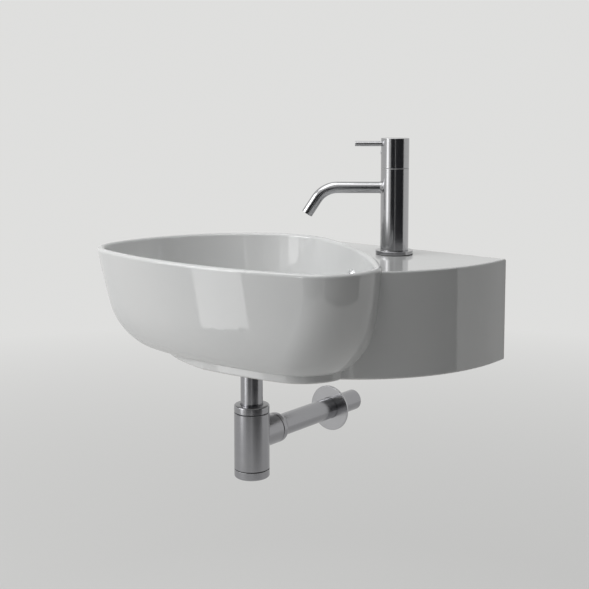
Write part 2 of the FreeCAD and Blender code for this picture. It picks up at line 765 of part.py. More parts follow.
def waste_group():
    """The waste, its seals and nut, and the plug that a push shuts."""
    waste_body()
    turned("waste_top_seal", ring(
        "waste_thread + seat_gap", "waste_flange - seat_gap", DRAIN_SEAT, FLANGE_LOW), DRAIN)
    turned("waste_bottom_seal", ring(
        "waste_thread + seat_gap", "waste_thread + foot_seal_wide", BACK_NUT_TOP, UNDERSIDE), DRAIN)
    turned("waste_back_nut", chamfered(
        "waste_thread + thread_gap", "back_nut", BACK_NUT_TOP + " - back_nut_tall", BACK_NUT_TOP), DRAIN)

    turned("plug_cap", [
        ("0", CAP_LOW),
        ("plug_radius - small_chamfer", CAP_LOW),
        ("plug_radius", CAP_LOW + " + small_chamfer"),
        ("plug_radius", CAP_LOW + " + plug_edge"),
    ] + dome("plug_radius", CAP_LOW + " + plug_edge", "plug_crown"), DRAIN)
    turned("plug_seal", ring(
        "plunger_radius + click_wall", "plug_seal_outer", CAP_LOW + " - plug_seal_thick", CAP_LOW), DRAIN)
    turned("plug_stem", [
        ("0", STEM_END),
        ("plunger_radius", STEM_END),
        ("plunger_radius", CAP_LOW),
        ("0", CAP_LOW),
    ], DRAIN)
    sleeve_low = HUB_TOP + " - hub_tall"
    turned("click_sleeve", [
        ("0", sleeve_low),
        ("click_radius - click_wall - fit_gap", sleeve_low),
        ("click_radius - click_wall - fit_gap", HUB_TOP),
        ("click_radius", HUB_TOP),
        ("click_radius", CLICK_TOP),
        ("plunger_radius + fit_gap", CLICK_TOP),
        ("plunger_radius + fit_gap", HUB_TOP + " + click_wall"),
        ("0", HUB_TOP + " + click_wall"),
    ], DRAIN)
    turned("plug_spring", ring(
        "plunger_radius - 2 * spring_wall", "plunger_radius - spring_wall",
        HUB_TOP + " + click_wall", STEM_END), DRAIN)


# ---------------------------------------------------------------- the bottle trap


def trap_bottle():
    """Bottle with its threaded neck and the outlet stub towards the wall."""
    neck_top = COLLAR_TOP + " - nut_lip - neck_seal_thick"
    shoulder = "(" + COLLAR_TOP + " - collar_tall - joint_gap)"
    body = doc.addObject("PartDesign::Body", "bottle_shell")
    turn_profile(body, [
        ("tube_radius + seat_gap", neck_top),
        ("neck_thread", neck_top),
        ("neck_thread", shoulder),
        ("bottle_radius", shoulder),
        ("bottle_radius", BOTTLE_END),
        ("bottle_radius - bottle_wall", BOTTLE_END),
        ("bottle_radius - bottle_wall", shoulder + " - bottle_shoulder"),
        ("tube_radius + seat_gap", shoulder + " - bottle_shoulder"),
    ])
    put(body, DRAIN)
    stub_turned = turned("outlet_stub", [
        ("0", "-drain_out"),
        ("outlet_radius", "-drain_out"),
        ("outlet_radius", "-outlet_seam - joint_gap / 2"),
        ("outlet_thread", "-outlet_seam - joint_gap / 2"),
        ("outlet_thread", "-outlet_thread_end"),
        ("0", "-outlet_thread_end"),
    ], OUTLET, ACROSS, export=False)
    whole = fused("bottle_whole", [body, stub_turned])
    inside_place = raised(DRAIN, BOTTLE_END)
    inside = primitive("Cylinder", "bottle_inside", inside_place, Radius="bottle_radius - bottle_wall",
                       Height="bottle_end + collar_top - collar_tall - joint_gap - bottle_shoulder")
    socket_place = (OUTLET[0], "-pipe_start", OUTLET[2])
    socket = primitive("Cylinder", "outlet_socket", socket_place, ACROSS,
                       Radius="tube_radius + seat_gap", Height="pipe_start")
    mouth_place = (OUTLET[0], "-drain_out", OUTLET[2])
    mouth = primitive("Cylinder", "outlet_mouth", mouth_place, ACROSS,
                      Radius="tube_radius - tube_wall", Height="drain_out")
    hollow = fused("bottle_hollow", [inside, socket, mouth])
    subpart(boolean("Cut", "bottle_done", whole, hollow), "trap_bottle")


def trap_group():
    """Inlet tube, bottle with its nuts and cup, and the pipe into the wall."""
    washer_low = WASTE_END + " - inlet_washer_thick"
    flare_low = washer_low + " - inlet_flange_thick"
    nut_low = flare_low + " - nut_lip"
    turned("inlet_nut", [
        ("tube_radius + seat_gap", nut_low),
        ("inlet_nut_radius - small_chamfer", nut_low),
        ("inlet_nut_radius", nut_low + " + small_chamfer"),
        ("inlet_nut_radius", nut_low + " + inlet_nut_tall - small_chamfer"),
        ("inlet_nut_radius - small_chamfer", nut_low + " + inlet_nut_tall"),
        ("waste_thread + thread_gap", nut_low + " + inlet_nut_tall"),
        ("waste_thread + thread_gap", flare_low),
        ("tube_radius + seat_gap", flare_low),
    ], DRAIN)
    turned("inlet_washer", ring("tube_radius", "inlet_flange", washer_low, WASTE_END), DRAIN)
    turned("inlet_tube", [
        ("tube_radius - tube_wall", DIP_END),
        ("tube_radius", DIP_END),
        ("tube_radius", flare_low),
        ("inlet_flange", flare_low),
        ("inlet_flange", washer_low),
        ("tube_radius - tube_wall", washer_low),
    ], DRAIN)

    collar_low = COLLAR_TOP + " - collar_tall"
    turned("collar_nut", [
        ("tube_radius + seat_gap", COLLAR_TOP + " - nut_lip"),
        ("neck_thread + thread_gap", COLLAR_TOP + " - nut_lip"),
        ("neck_thread + thread_gap", collar_low),
        ("bottle_radius", collar_low),
        ("bottle_radius", COLLAR_TOP + " - collar_chamfer"),
        ("bottle_radius - collar_chamfer", COLLAR_TOP),
        ("tube_radius + seat_gap", COLLAR_TOP),
    ], DRAIN)
    turned("collar_seal", ring(
        "tube_radius + fit_gap", "neck_thread - seat_gap",
        COLLAR_TOP + " - nut_lip - neck_seal_thick", COLLAR_TOP + " - nut_lip"), DRAIN)
    trap_bottle()

    cup_top = BOTTLE_END + " - joint_gap"
    collar = "bottle_radius - bottle_wall - thread_gap"
    turned("cup_seal", ring(collar, "bottle_radius - joint_gap", cup_top, BOTTLE_END), DRAIN)
    turned("trap_cup", [
        ("0", CUP_END),
        ("bottle_radius - cup_round", CUP_END),
        ("bottle_radius - cup_round * (1 - cos(45 deg))", CUP_END + " + cup_round * (1 - cos(45 deg))"),
        ("bottle_radius", CUP_END + " + cup_round"),
        ("bottle_radius", cup_top),
        (collar, cup_top),
        (collar, cup_top + " + cup_collar"),
        (collar + " - bottle_wall", cup_top + " + cup_collar"),
        (collar + " - bottle_wall", CUP_END + " + cup_floor"),
        ("0", CUP_END + " + cup_floor"),
    ], DRAIN)

    nut_seat = "-outlet_nut_end - nut_lip"
    turned("outlet_nut", [
        ("outlet_thread + thread_gap", "-outlet_seam + joint_gap / 2"),
        ("outlet_radius", "-outlet_seam + joint_gap / 2"),
        ("outlet_radius", "-outlet_nut_end - outlet_nut_round"),
        ("outlet_radius - outlet_nut_round * (1 - cos(45 deg))",
         "-outlet_nut_end - outlet_nut_round * (1 - cos(45 deg))"),
        ("tube_radius + seat_gap", "-outlet_nut_end"),
        ("tube_radius + seat_gap", nut_seat),
        ("outlet_thread + thread_gap", nut_seat),
    ], OUTLET, ACROSS)
    turned("outlet_seal", ring(
        "tube_radius + fit_gap", "outlet_thread - seat_gap", "-outlet_thread_end", nut_seat), OUTLET, ACROSS)
    turned("outlet_pipe", [
        ("tube_radius - tube_wall", "-pipe_start"),
        ("tube_radius", "-pipe_start"),
        ("tube_radius", "-pipe_mark_wide"),
        ("tube_radius - pipe_mark", "-pipe_mark_wide"),
        ("tube_radius - pipe_mark", "0"),
        ("tube_radius", "0"),
        ("tube_radius", "pipe_beyond"),
        ("tube_radius - tube_wall", "pipe_beyond"),
    ], OUTLET, ACROSS)
    turned("wall_rosette", [
        ("tube_radius + seat_gap", "-rosette_proud"),
        ("rosette_radius - small_chamfer", "-rosette_proud"),
        ("rosette_radius", "-rosette_proud + small_chamfer"),
        ("rosette_radius", "0"),
        ("rosette_radius - rosette_wall", "0"),
        ("rosette_radius - rosette_wall", "-rosette_proud + rosette_wall"),
        ("tube_radius + seat_gap", "-rosette_proud + rosette_wall"),
    ], OUTLET, ACROSS)
    turned("rosette_seal", ring(
        "tube_radius + fit_gap", "tube_radius + rosette_seal_wide",
        "-rosette_proud + rosette_wall", "-seat_gap"), OUTLET, ACROSS)


# ---------------------------------------------------------------- the tap


def local(ahead, aside, up):
    """Expressions for a point given in the tap's own directions."""
    cos = "cos(spout_turn * 1 deg)"
    sin = "sin(spout_turn * 1 deg)"
    x = "tap_x + (%s) * %s - (%s) * %s" % (ahead, cos, aside, sin)
    y = "-tap_out + (%s) * %s + (%s) * %s" % (ahead, sin, aside, cos)
    return (x, y, "deck_up + " + up)


def tap_body():
    """Body of the tap with its cartridge chamber, ports and channels."""
    body = doc.addObject("PartDesign::Body", "tap_column")
    turn_profile(body, [
        ("0", "base_top"),
        ("tap_radius", "base_top"),
        ("tap_radius", "body_top"),
        ("ring_nut_radius + thread_gap", "body_top"),
        ("ring_nut_radius + thread_gap", "ring_nut_start"),
        ("cartridge_radius + thread_gap", "ring_nut_start"),
        ("cartridge_radius + thread_gap", "seat_up"),
        ("0", "seat_up"),
    ])
    put(body, TAP, TO_SPOUT)
    bead = turned("spout_weld", [
        ("0", "spout_root"),
        ("spout_radius + spout_bead", "spout_root"),
        ("spout_radius", "tap_radius + spout_bead"),
        ("0", "tap_radius + spout_bead"),
    ], raised(TAP, "spout_up"), ALONG_SPOUT, export=False)
    column = fused("tap_column_welded", [body, bead])
    cuts = []
    for name, side in (("cold", "-port_aside"), ("hot", "port_aside")):
        foot = local("port_ahead", side, "base_top")
        cuts.append(primitive("Cylinder", name + "_port", foot, Radius="port_bore", Height="port_deep"))
        cuts.append(primitive("Cylinder", name + "_channel", foot, Radius="channel_bore",
                              Height="seat_up - base_top"))
    back = "(channel_bore - cartridge_radius + cartridge_wall)"
    mixed = local(back, "0", "spout_up")
    cuts.append(primitive(
        "Cylinder", "mixed_channel", mixed, Radius="channel_bore", Height="seat_up - spout_up"))
    cuts.append(primitive("Cylinder", "mixed_way", mixed, ALONG_SPOUT, Radius="channel_bore",
                          Height="spout_root - " + back))
    root = local("spout_root", "0", "spout_up")
    cuts.append(primitive("Cylinder", "spout_socket", root, ALONG_SPOUT, Radius="spout_radius + fit_gap",
                          Height="tap_radius"))
    cuts.append(primitive("Cylinder", "stud_hole", local("-stud_back", "0", "base_top"),
                          Radius="tap_stud_radius + thread_gap", Height="tap_stud_in"))
    subpart(boolean("Cut", "tap_body_done", column, fused("tap_cuts", cuts)), "tap_body")


def tap_spout():
    """Bent spout tube: straight, bend and straight end."""
    body = doc.addObject("PartDesign::Body", "spout")
    ring_sketch = body.newObject("Sketcher::SketchObject", "spout_section")
    ring_sketch.AttachmentSupport = [(origin_plane(body, "YZ_Plane"), "")]
    ring_sketch.MapMode = "FlatFace"
    ring_sketch.setExpression("AttachmentOffset.Base.z", formula("spout_root"))
    for index, text in enumerate(("spout_radius", "spout_radius - spout_wall")):
        ring_sketch.addGeometry(Part.Circle(Vector(0, 0, 0), Vector(0, 0, 1), value(text)))
        ring_sketch.addConstraint(Sketcher.Constraint("Coincident", index, 3, -1, 1))
        place = ring_sketch.addConstraint(Sketcher.Constraint("Radius", index, value(text)))
        ring_sketch.setExpression("Constraints[%d]" % place, formula(text))

    path = body.newObject("Sketcher::SketchObject", "spout_path")
    path.AttachmentSupport = [(origin_plane(body, "XZ_Plane"), "")]
    path.MapMode = "FlatFace"
    turn = math.radians(value("spout_angle"))
    bend = value("spout_bend")
    root = Vector(value("spout_root"), 0, 0)
    reach = Vector(value("spout_reach"), 0, 0)
    centre = reach + Vector(0, -bend, 0)
    after = centre + Vector(math.sin(turn), math.cos(turn), 0) * bend
    end = after + Vector(math.cos(turn), -math.sin(turn), 0) * value("spout_drop")
    bend_end = "spout_reach + spout_bend * sin(spout_angle * 1 deg)"
    path.addGeometry(Part.LineSegment(root, reach))
    path.addGeometry(Part.ArcOfCircle(
        Part.Circle(centre, Vector(0, 0, 1), bend), math.pi / 2 - turn, math.pi / 2))
    path.addGeometry(Part.LineSegment(after, end))
    path.addConstraint(Sketcher.Constraint("Horizontal", 0))
    path.addConstraint(Sketcher.Constraint("PointOnObject", 0, 1, -1))
    path.addConstraint(Sketcher.Constraint("Tangent", 0, 2, 1, 2))
    path.addConstraint(Sketcher.Constraint("Tangent", 1, 1, 2, 1))
    sizes = [
        (Sketcher.Constraint("DistanceX", -1, 1, 0, 1, root.x), "spout_root"),
        (Sketcher.Constraint("DistanceX", -1, 1, 0, 2, reach.x), "spout_reach"),
        (Sketcher.Constraint("Radius", 1, bend), "spout_bend"),
        (Sketcher.Constraint("Distance", 2, value("spout_drop")), "spout_drop"),
        (Sketcher.Constraint("DistanceX", -1, 1, 2, 1, after.x), bend_end),
    ]
    for constraint, text in sizes:
        place = path.addConstraint(constraint)
        path.setExpression("Constraints[%d]" % place, formula(text))
    doc.recompute()
    pipe = body.newObject("PartDesign::AdditivePipe", "spout_tube")
    pipe.Profile = ring_sketch
    pipe.Spine = (path, ["Edge1", "Edge2", "Edge3"])
    put(body, raised(TAP, "spout_up"), TO_SPOUT)
    subpart(body, "tap_spout")


def spout_end():
    """The point and direction of the spout's end face."""
    turn = math.radians(value("spout_angle"))
    bend = value("spout_bend")
    drop = value("spout_drop")
    ahead = value("spout_reach") + bend * math.sin(turn) + drop * math.cos(turn)
    down = bend * (1 - math.cos(turn)) + drop * math.sin(turn)
    point = Vector(*[value(text) for text in raised(TAP, "spout_up")])
    point += TO_SPOUT.multVec(Vector(ahead, 0, -down))
    direction = TO_SPOUT.multVec(Vector(math.cos(turn), 0, -math.sin(turn)))
    return point, direction


def aerator():
    """Aerator ring and its grid, sunk in the end of the spout."""
    point, direction = spout_end()
    rotation = Rotation(Vector(0, 0, 1), -direction)
    outer = "spout_radius - spout_wall - fit_gap"
    housing = doc.addObject("PartDesign::Body", "aerator_shell")
    turn_profile(housing, ring(
        outer + " - aerator_wall", outer, "aerator_sunk", "aerator_sunk + aerator_long"))
    housing.Placement = Placement(point, rotation)
    subpart(housing, "aerator_housing")

    radius = value("%s - aerator_wall - fit_gap" % outer)
    tall = value("aerator_grid")
    hole = value("aerator_hole")
    low = Vector(0, 0, value("aerator_sunk + 2 * small_chamfer"))
    shape = Part.makeCylinder(radius, tall, low)
    shape = shape.cut(Part.makeCylinder(hole, tall, low))
    for ring_index in (1, 2):
        count = 6 * ring_index
        for step in range(count):
            angle = 2 * math.pi * step / count
            place = low + Vector(math.cos(angle), math.sin(angle), 0) * value("aerator_pitch") * ring_index
            shape = shape.cut(Part.makeCylinder(hole, tall, place))
    grid = doc.addObject("Part::Feature", "aerator_grid")
    grid.Shape = shape
    grid.Placement = Placement(point, rotation)
    subpart(grid, "aerator_insert")


def cartridge_group():
    """Cartridge with its two ceramic discs and its stem, held by a ring nut."""
    shoulder = "seat_up + cartridge_tall"
    turned("cartridge_shell", [
        ("disc_radius + seat_gap", "seat_up"),
        ("cartridge_radius", "seat_up"),
        ("cartridge_radius", shoulder),
        ("cartridge_neck", shoulder),
        ("cartridge_neck", "cartridge_top"),
        ("stem_radius + fit_gap", "cartridge_top"),
        ("stem_radius + fit_gap", shoulder + " - cartridge_wall"),
        ("disc_radius + seat_gap", shoulder + " - cartridge_wall"),
    ], TAP, TO_SPOUT)
    fixed_top = "seat_up + disc_thick"
    turning_top = fixed_top + " + disc_thick"
    for label, low, high in (("fixed_disc", "seat_up", fixed_top), ("turning_disc", fixed_top, turning_top)):
        plate = turned(label + "_plate", ring("0", "disc_radius", low, high), TAP, TO_SPOUT, export=False)
        cuts = []
        for hand, side in (("cold", "-disc_mouth_aside"), ("hot", "disc_mouth_aside")):
            cuts.append(primitive("Cylinder", label + "_" + hand, local("disc_mouth_ahead", side, low),
                                  Radius="disc_mouth", Height="disc_thick"))
        subpart(boolean("Cut", label + "_done", plate, fused(label + "_mouths", cuts)), label)
    turned("cartridge_stem", [
        ("0", turning_top),
        ("stem_flange", turning_top),
        ("stem_flange", turning_top + " + stem_flange_thick"),
        ("stem_radius", turning_top + " + stem_flange_thick"),
        ("stem_radius", "stem_top - small_chamfer"),
        ("stem_radius - small_chamfer", "stem_top"),
        ("0", "stem_top"),
    ], TAP, TO_SPOUT)
    turned("cartridge_nut", [
        ("cartridge_radius + thread_gap", "ring_nut_start"),
        ("ring_nut_radius", "ring_nut_start"),
        ("ring_nut_radius", "ring_nut_top - small_chamfer"),
        ("ring_nut_radius - small_chamfer", "ring_nut_top"),
        ("cartridge_neck + thread_gap", "ring_nut_top"),
        ("cartridge_neck + thread_gap", shoulder),
        ("cartridge_radius + thread_gap", shoulder),
    ], TAP, TO_SPOUT)


def head_group():
    """Turning head with its lever, its screw and the index cap over it."""
    turned("glide_ring", ring(
        "ring_nut_radius + 2 * thread_gap", "tap_radius - glide_inset",
        "body_top", "body_top + glide_thick"), TAP)
    head_low = "body_top + glide_thick + head_gap"
    column = turned("head_column", [
        ("stem_radius + fit_gap", "head_hollow_top"),
        ("head_hollow", "head_hollow_top"),
        ("head_hollow", head_low),
        ("tap_radius - small_chamfer / 2", head_low),
        ("tap_radius", head_low + " + small_chamfer / 2"),
        ("tap_radius", "head_top - small_chamfer"),
        ("tap_radius - small_chamfer", "head_top"),
        ("0", "head_top"),
        ("0", "stem_top + small_chamfer"),
        ("stem_radius + fit_gap", "stem_top + small_chamfer"),
    ], TAP, TO_SPOUT, export=False)
    lever_hole = primitive(
        "Cylinder", "lever_hole", local("lever_shank_start", "0", "lever_up"), ALONG_SPOUT,
        Radius="lever_shank + fit_gap", Height="tap_radius")
    screw_hole = primitive(
        "Cylinder", "screw_hole", local("0", "0", "screw_up"), ALONG_SPOUT,
        Radius="screw_radius + fit_gap", Height="tap_radius + overcut")
    holes = fused("head_holes", [lever_hole, screw_hole])
    subpart(boolean("Cut", "head_done", column, holes), "tap_head")
    turned("tap_lever", [
        ("0", "lever_shank_start"),
        ("lever_shank", "lever_shank_start"),
        ("lever_shank", "tap_radius"),
        ("lever_radius", "tap_radius"),
        ("lever_radius", "lever_end - small_chamfer"),
        ("lever_radius - small_chamfer", "lever_end"),
        ("0", "lever_end"),
    ], raised(TAP, "lever_up"), ALONG_SPOUT)
    turned("head_screw", ring(
        "0", "screw_radius", "stem_radius + fit_gap", "stem_radius + fit_gap + screw_long"),
        raised(TAP, "screw_up"), ALONG_SPOUT)
    turned("index_cap", ring("0", "screw_radius", "index_start", "tap_radius + index_proud"),
           raised(TAP, "screw_up"), ALONG_SPOUT)


def clamp_piece(label, low, thick):
    """Horseshoe under the deck with a hole for the stud and a mouth for the hoses."""
    place = raised(TAP, low)
    disc = primitive("Cylinder", label + "_disc", place, Radius="clamp_radius", Height=thick)
    mouth = primitive("Cylinder", label + "_mouth", local("clamp_slot_ahead", "0", low),
                      Radius="clamp_slot", Height=thick)
    gate = primitive("Box", label + "_gate", local("clamp_slot_ahead", "-clamp_slot", low), TO_SPOUT,
                     Length="clamp_radius", Width="2 * clamp_slot", Height=thick)
    hole = primitive("Cylinder", label + "_hole", local("-stud_back", "0", low),
                     Radius="tap_stud_radius + thread_gap", Height=thick)
    subpart(boolean("Cut", label + "_done", disc, fused(label + "_cuts", [mouth, gate, hole])), label)


def base_group():
    """Base ring and its seal on the deck, and the stud and clamp under it."""
    turned("base_seal", ring(
        "base_bore + seat_gap", "base_radius - small_chamfer", "0", "base_seal_thick"), TAP)
    turned("base_ring", [
        ("base_bore", "base_seal_thick"),
        ("base_radius", "base_seal_thick"),
        ("base_radius", "base_top - small_chamfer"),
        ("base_radius - small_chamfer", "base_top"),
        ("base_bore", "base_top"),
    ], TAP)
    stud_foot = "-tap_stud_end"
    subpart(primitive("Cylinder", "stud", local("-stud_back", "0", stud_foot), Radius="tap_stud_radius",
                      Height="tap_stud_end + base_top + tap_stud_in"), "tap_stud")
    seal_low = "-deck_thick - clamp_seal_thick"
    plate_low = seal_low + " - clamp_plate_thick"
    clamp_piece("clamp_seal", seal_low, "clamp_seal_thick")
    clamp_piece("clamp_plate", plate_low, "clamp_plate_thick")
    nut_place = local("-stud_back", "0", plate_low + " - tap_nut_tall")
    subpart(hex_nut("tap_clamp", "tap_nut_flats", "tap_stud_radius + thread_gap", "tap_nut_tall", nut_place),
            "clamp_nut")


def tap_group():
    """The single lever tap on the deck."""
    base_group()
    tap_body()
    tap_spout()
    aerator()
    cartridge_group()
    head_group()


def check_and_export():
    """Stop on any failed object, then write each sub-part to its own file."""
    doc.recompute()
    for obj in doc.Objects:
        if "Invalid" in obj.State or "Error" in obj.State:
            raise RuntimeError("%s failed: %s" % (obj.Name, obj.State))
    os.makedirs("parts", exist_ok=True)
    for obj in SUBPARTS:
        shape = obj.Shape
        if shape.isNull() or not shape.isValid():
            raise RuntimeError("%s has no valid shape" % obj.Label)
    for obj in SUBPARTS:
        obj.Shape.exportStep("parts/%s.step" % obj.Label)
        print("%-20s %2d solid(s) %12.1f mm3" % (obj.Label, len(obj.Shape.Solids), obj.Shape.Volume))


ceramic_group()
wall_fixings()
waste_group()
trap_group()
tap_group()
check_and_export()
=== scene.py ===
"""Finished pieces, finishes and studio of a wall hung basin with its tap, click waste and bottle trap.

Everything is in metres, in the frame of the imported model: the wall is the plane Y = 0, the drain
lies in the plane X = 0 and Z points up. Profiles of turned pieces are written in millimetres, as
pairs of radius and height, from the deck or along the axis of their group.
"""

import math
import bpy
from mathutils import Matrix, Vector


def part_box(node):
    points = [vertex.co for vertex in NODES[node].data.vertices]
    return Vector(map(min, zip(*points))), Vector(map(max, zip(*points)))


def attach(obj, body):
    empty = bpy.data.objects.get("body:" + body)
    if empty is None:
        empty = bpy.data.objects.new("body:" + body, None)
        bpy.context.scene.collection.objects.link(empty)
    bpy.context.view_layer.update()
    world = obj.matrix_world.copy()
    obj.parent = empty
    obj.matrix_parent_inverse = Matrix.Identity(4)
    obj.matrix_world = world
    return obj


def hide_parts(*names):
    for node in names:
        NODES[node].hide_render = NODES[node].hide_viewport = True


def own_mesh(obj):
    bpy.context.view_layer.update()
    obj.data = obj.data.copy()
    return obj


bl_info = {
    "name": "Wall Hung Basin",
    "version": (1, 0, 0),
    "blender": (4, 5, 0),
    "location": "3D View > Sidebar > Basin",
    "description": "Builds the pieces, the finishes and the studio of a wall hung basin",
    "category": "Object",
}

import bmesh
import bpy
from bpy.props import FloatProperty, FloatVectorProperty, IntProperty, PointerProperty
from bpy.types import Operator, Panel, PropertyGroup
from mathutils import Vector

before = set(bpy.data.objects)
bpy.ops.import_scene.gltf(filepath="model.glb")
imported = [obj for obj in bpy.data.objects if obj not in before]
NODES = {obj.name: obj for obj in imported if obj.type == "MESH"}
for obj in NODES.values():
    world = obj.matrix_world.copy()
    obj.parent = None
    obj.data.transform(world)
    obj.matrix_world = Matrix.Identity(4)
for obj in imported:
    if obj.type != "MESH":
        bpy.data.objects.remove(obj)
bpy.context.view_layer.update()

MM = 0.001
UP = Vector((0, 0, 1))
TO_WALL = Vector((0, 1, 0))
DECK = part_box("base_seal")[0].z
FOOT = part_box("basin_ceramic")[0].z


def middle(name):
    """Centre of a CAD node's box."""
    low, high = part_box(name)
    return (low + high) / 2


def on_deck(name):
    """Centre of a CAD node in plan, at the height of the deck."""
    centre = middle(name)
    return Vector((centre.x, centre.y, DECK))


def heights(name):
    """Lowest and highest point of a CAD node over the deck, in millimetres."""
    return [(corner.z - DECK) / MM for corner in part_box(name)]


def depths(name):
    """Start and end of a CAD node on the way to the wall, in millimetres."""
    return [corner.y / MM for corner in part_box(name)]


# The axes of drain, tap, stud and outlet, and the way in which the spout points.
DRAIN = on_deck("trap_cup")
TAP = on_deck("base_ring")
STUD = on_deck("tap_stud")
OUTLET = Vector((middle("wall_rosette").x, 0, middle("wall_rosette").z))
OUTLET_DROP = (OUTLET.z - DECK) / MM
SPOUT_AXIS = (on_deck("tap_lever") - TAP).normalized()
SPOUT_ASIDE = UP.cross(SPOUT_AXIS)

# Distance of a wall bolt from the basin's middle, in metres.
NUTS_LOW, NUTS_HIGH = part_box("wall_nuts")
BOLT = NUTS_HIGH.x - (NUTS_HIGH.z - NUTS_LOW.z) / 2

# Radii in millimetres: bore and outside of the trap's tubes, bore of what slips over them, the
# bottle, its outlet stub, and the tap.
BORE, TUBE, SLIP = 15, 16, 16.3
BOTTLE, STUB = 25.5, 22
TAP_RADIUS = 19.75

# Heights over the deck in millimetres.
SPOUT_HEIGHT, LEVER_HEIGHT, CAP_HEIGHT = 93.9, 155.2, 143
HUB_LOW, HUB_HIGH = -157, -152


# -------------------- sizes and colours


def colour(name, description, default):
    """A colour property."""
    return FloatVectorProperty(
        name=name, description=description, subtype="COLOR", size=3, min=0, max=1, default=default)


def number(name, description, default, **more):
    """A number property, with its unit or subtype where it has one."""
    return FloatProperty(name=name, description=description, default=default, **more)


def share(name, description, default):
    """A property between nothing and all."""
    return number(name, description, default, subtype="FACTOR", min=0, max=1)


def length(name, description, default):
    """A length property, in metres."""
    return number(name, description, default, unit="LENGTH", precision=5)


class GlazeSettings(PropertyGroup):
    """The ceramic's glaze and its bare places."""

    white: colour("Glaze", "Colour of the glaze", (0.80, 0.805, 0.80))
    pooled: colour("Pooled glaze", "Colour where the glaze lies a little thicker", (0.765, 0.775, 0.775))
    bare: colour("Bare body", "Colour of the unglazed clay at the wall and under the foot", (0.66, 0.63, 0.58))
    roughness: share("Roughness", "Roughness of the glaze", 0.05)
    ripple: length("Ripple", "Depth of the glaze's soft ripple", 0.00012)
    bare_line: length("Bare line", "How far the bare clay reaches from the wall plane or the foot", 0.0012)


class SteelSettings(PropertyGroup):
    """Satin steel of the tap, the trap and the wall rosette, and polished chrome."""

    tap: colour("Tap steel", "Colour of the tap's satin steel", (0.43, 0.43, 0.44))
    trap: colour("Trap steel", "Colour of the trap's satin steel", (0.36, 0.36, 0.375))
    # Painted light: the rosette's colour is the trap's steel painted lighter, standing in for the brightness that
    # the rosette catches from the lamps.
    rosette: colour("Rosette steel", "Colour of the wall rosette's brighter steel", (0.50, 0.50, 0.515))
    chrome: colour("Chrome", "Colour of the polished pieces", (0.80, 0.81, 0.82))
    tap_roughness: share("Tap roughness", "Roughness of the tap's steel", 0.17)
    trap_roughness: share("Trap roughness", "Roughness of the trap's and the rosette's steel", 0.20)
    brush: length("Brush depth", "Depth of the brushing lines", 0.000006)
    line_count: number("Brushing lines", "Fine brushing lines in a metre", 2600, min=100, max=9000)


class TurningSettings(PropertyGroup):
    """How turned pieces are divided, and how deep their threads are drawn."""

    sides: IntProperty(name="Sides", description="Faces round a turned piece", default=128, min=24, max=256)
    thread: length("Thread depth", "Depth of a drawn thread", 0.0007)


class StudioSettings(PropertyGroup):
    """Camera, floor, backdrop and the power of the lamps."""

    camera: FloatVectorProperty(
        name="Camera", description="Place of the camera", subtype="TRANSLATION", unit="LENGTH", size=3,
        default=(1.02428, -1.33408, 0.28045))
    azimuth: number("Azimuth", "Direction of the camera round the basin", math.radians(39.4138), subtype="ANGLE")
    pitch: number("Pitch", "How far the camera looks down", math.radians(6.1634), subtype="ANGLE")
    lens: number("Lens", "Focal length", 67.387, unit="CAMERA")
    shift: number("Shift", "Vertical shift of the picture", -0.14)
    floor_down: length("Floor", "Floor under the deck", 0.85)
    floor: colour("Floor colour", "Colour of floor and backdrop", (0.80, 0.80, 0.79))
    backdrop: share("Backdrop", "Brightness of the backdrop", 0.92)
    lift: share("Floor light", "Share of the backdrop's brightness that is always seen in the floor", 0.55)
    ambient: share("Ambient", "Brightness of the light from all sides", 0.11)
    key: number("Key lamp", "Power of the tall lamp on the left", 3, unit="POWER")
    fill: number("Fill lamp", "Power of the wide lamp high on the left", 26, unit="POWER")
    top: number("Top lamp", "Power of the lamp overhead", 22, unit="POWER")


# -------------------- modelling by hand


def settle():
    """Leave edit mode and select nothing."""
    if bpy.context.object and bpy.context.object.mode != "OBJECT":
        bpy.ops.object.mode_set(mode="OBJECT")
    bpy.ops.object.select_all(action="DESELECT")


def only(piece):
    """Select one piece alone and make it active."""
    settle()
    piece.select_set(True)
    bpy.context.view_layer.objects.active = piece


def rooted(piece, name):
    """Name a piece and write its place, turn and scale into its mesh."""
    piece.name = name
    only(piece)
    bpy.ops.object.transform_apply(location=True, rotation=True, scale=True)
    return piece


def opened(piece, kind, action="DESELECT"):
    """Open a piece in edit mode, with all or none of one kind of its elements selected."""
    only(piece)
    bpy.ops.object.mode_set(mode="EDIT")
    bpy.ops.mesh.select_mode(type=kind)
    bpy.ops.mesh.select_all(action=action)


def closed(bridged=False):
    """Bridge or fill the open ends of the piece being edited, and point its faces outwards."""
    bpy.ops.mesh.select_all(action="DESELECT")
    bpy.ops.mesh.select_non_manifold()
    if bridged:
        bpy.ops.mesh.bridge_edge_loops()
    else:
        bpy.ops.mesh.fill_holes(sides=0)
    bpy.ops.mesh.select_all(action="SELECT")
    bpy.ops.mesh.normals_make_consistent(inside=False)
    bpy.ops.object.mode_set(mode="OBJECT")


def extruded(way):
    """Extrude what is selected, by a way in metres."""
    bpy.ops.mesh.extrude_region_move(TRANSFORM_OT_translate={"value": way})


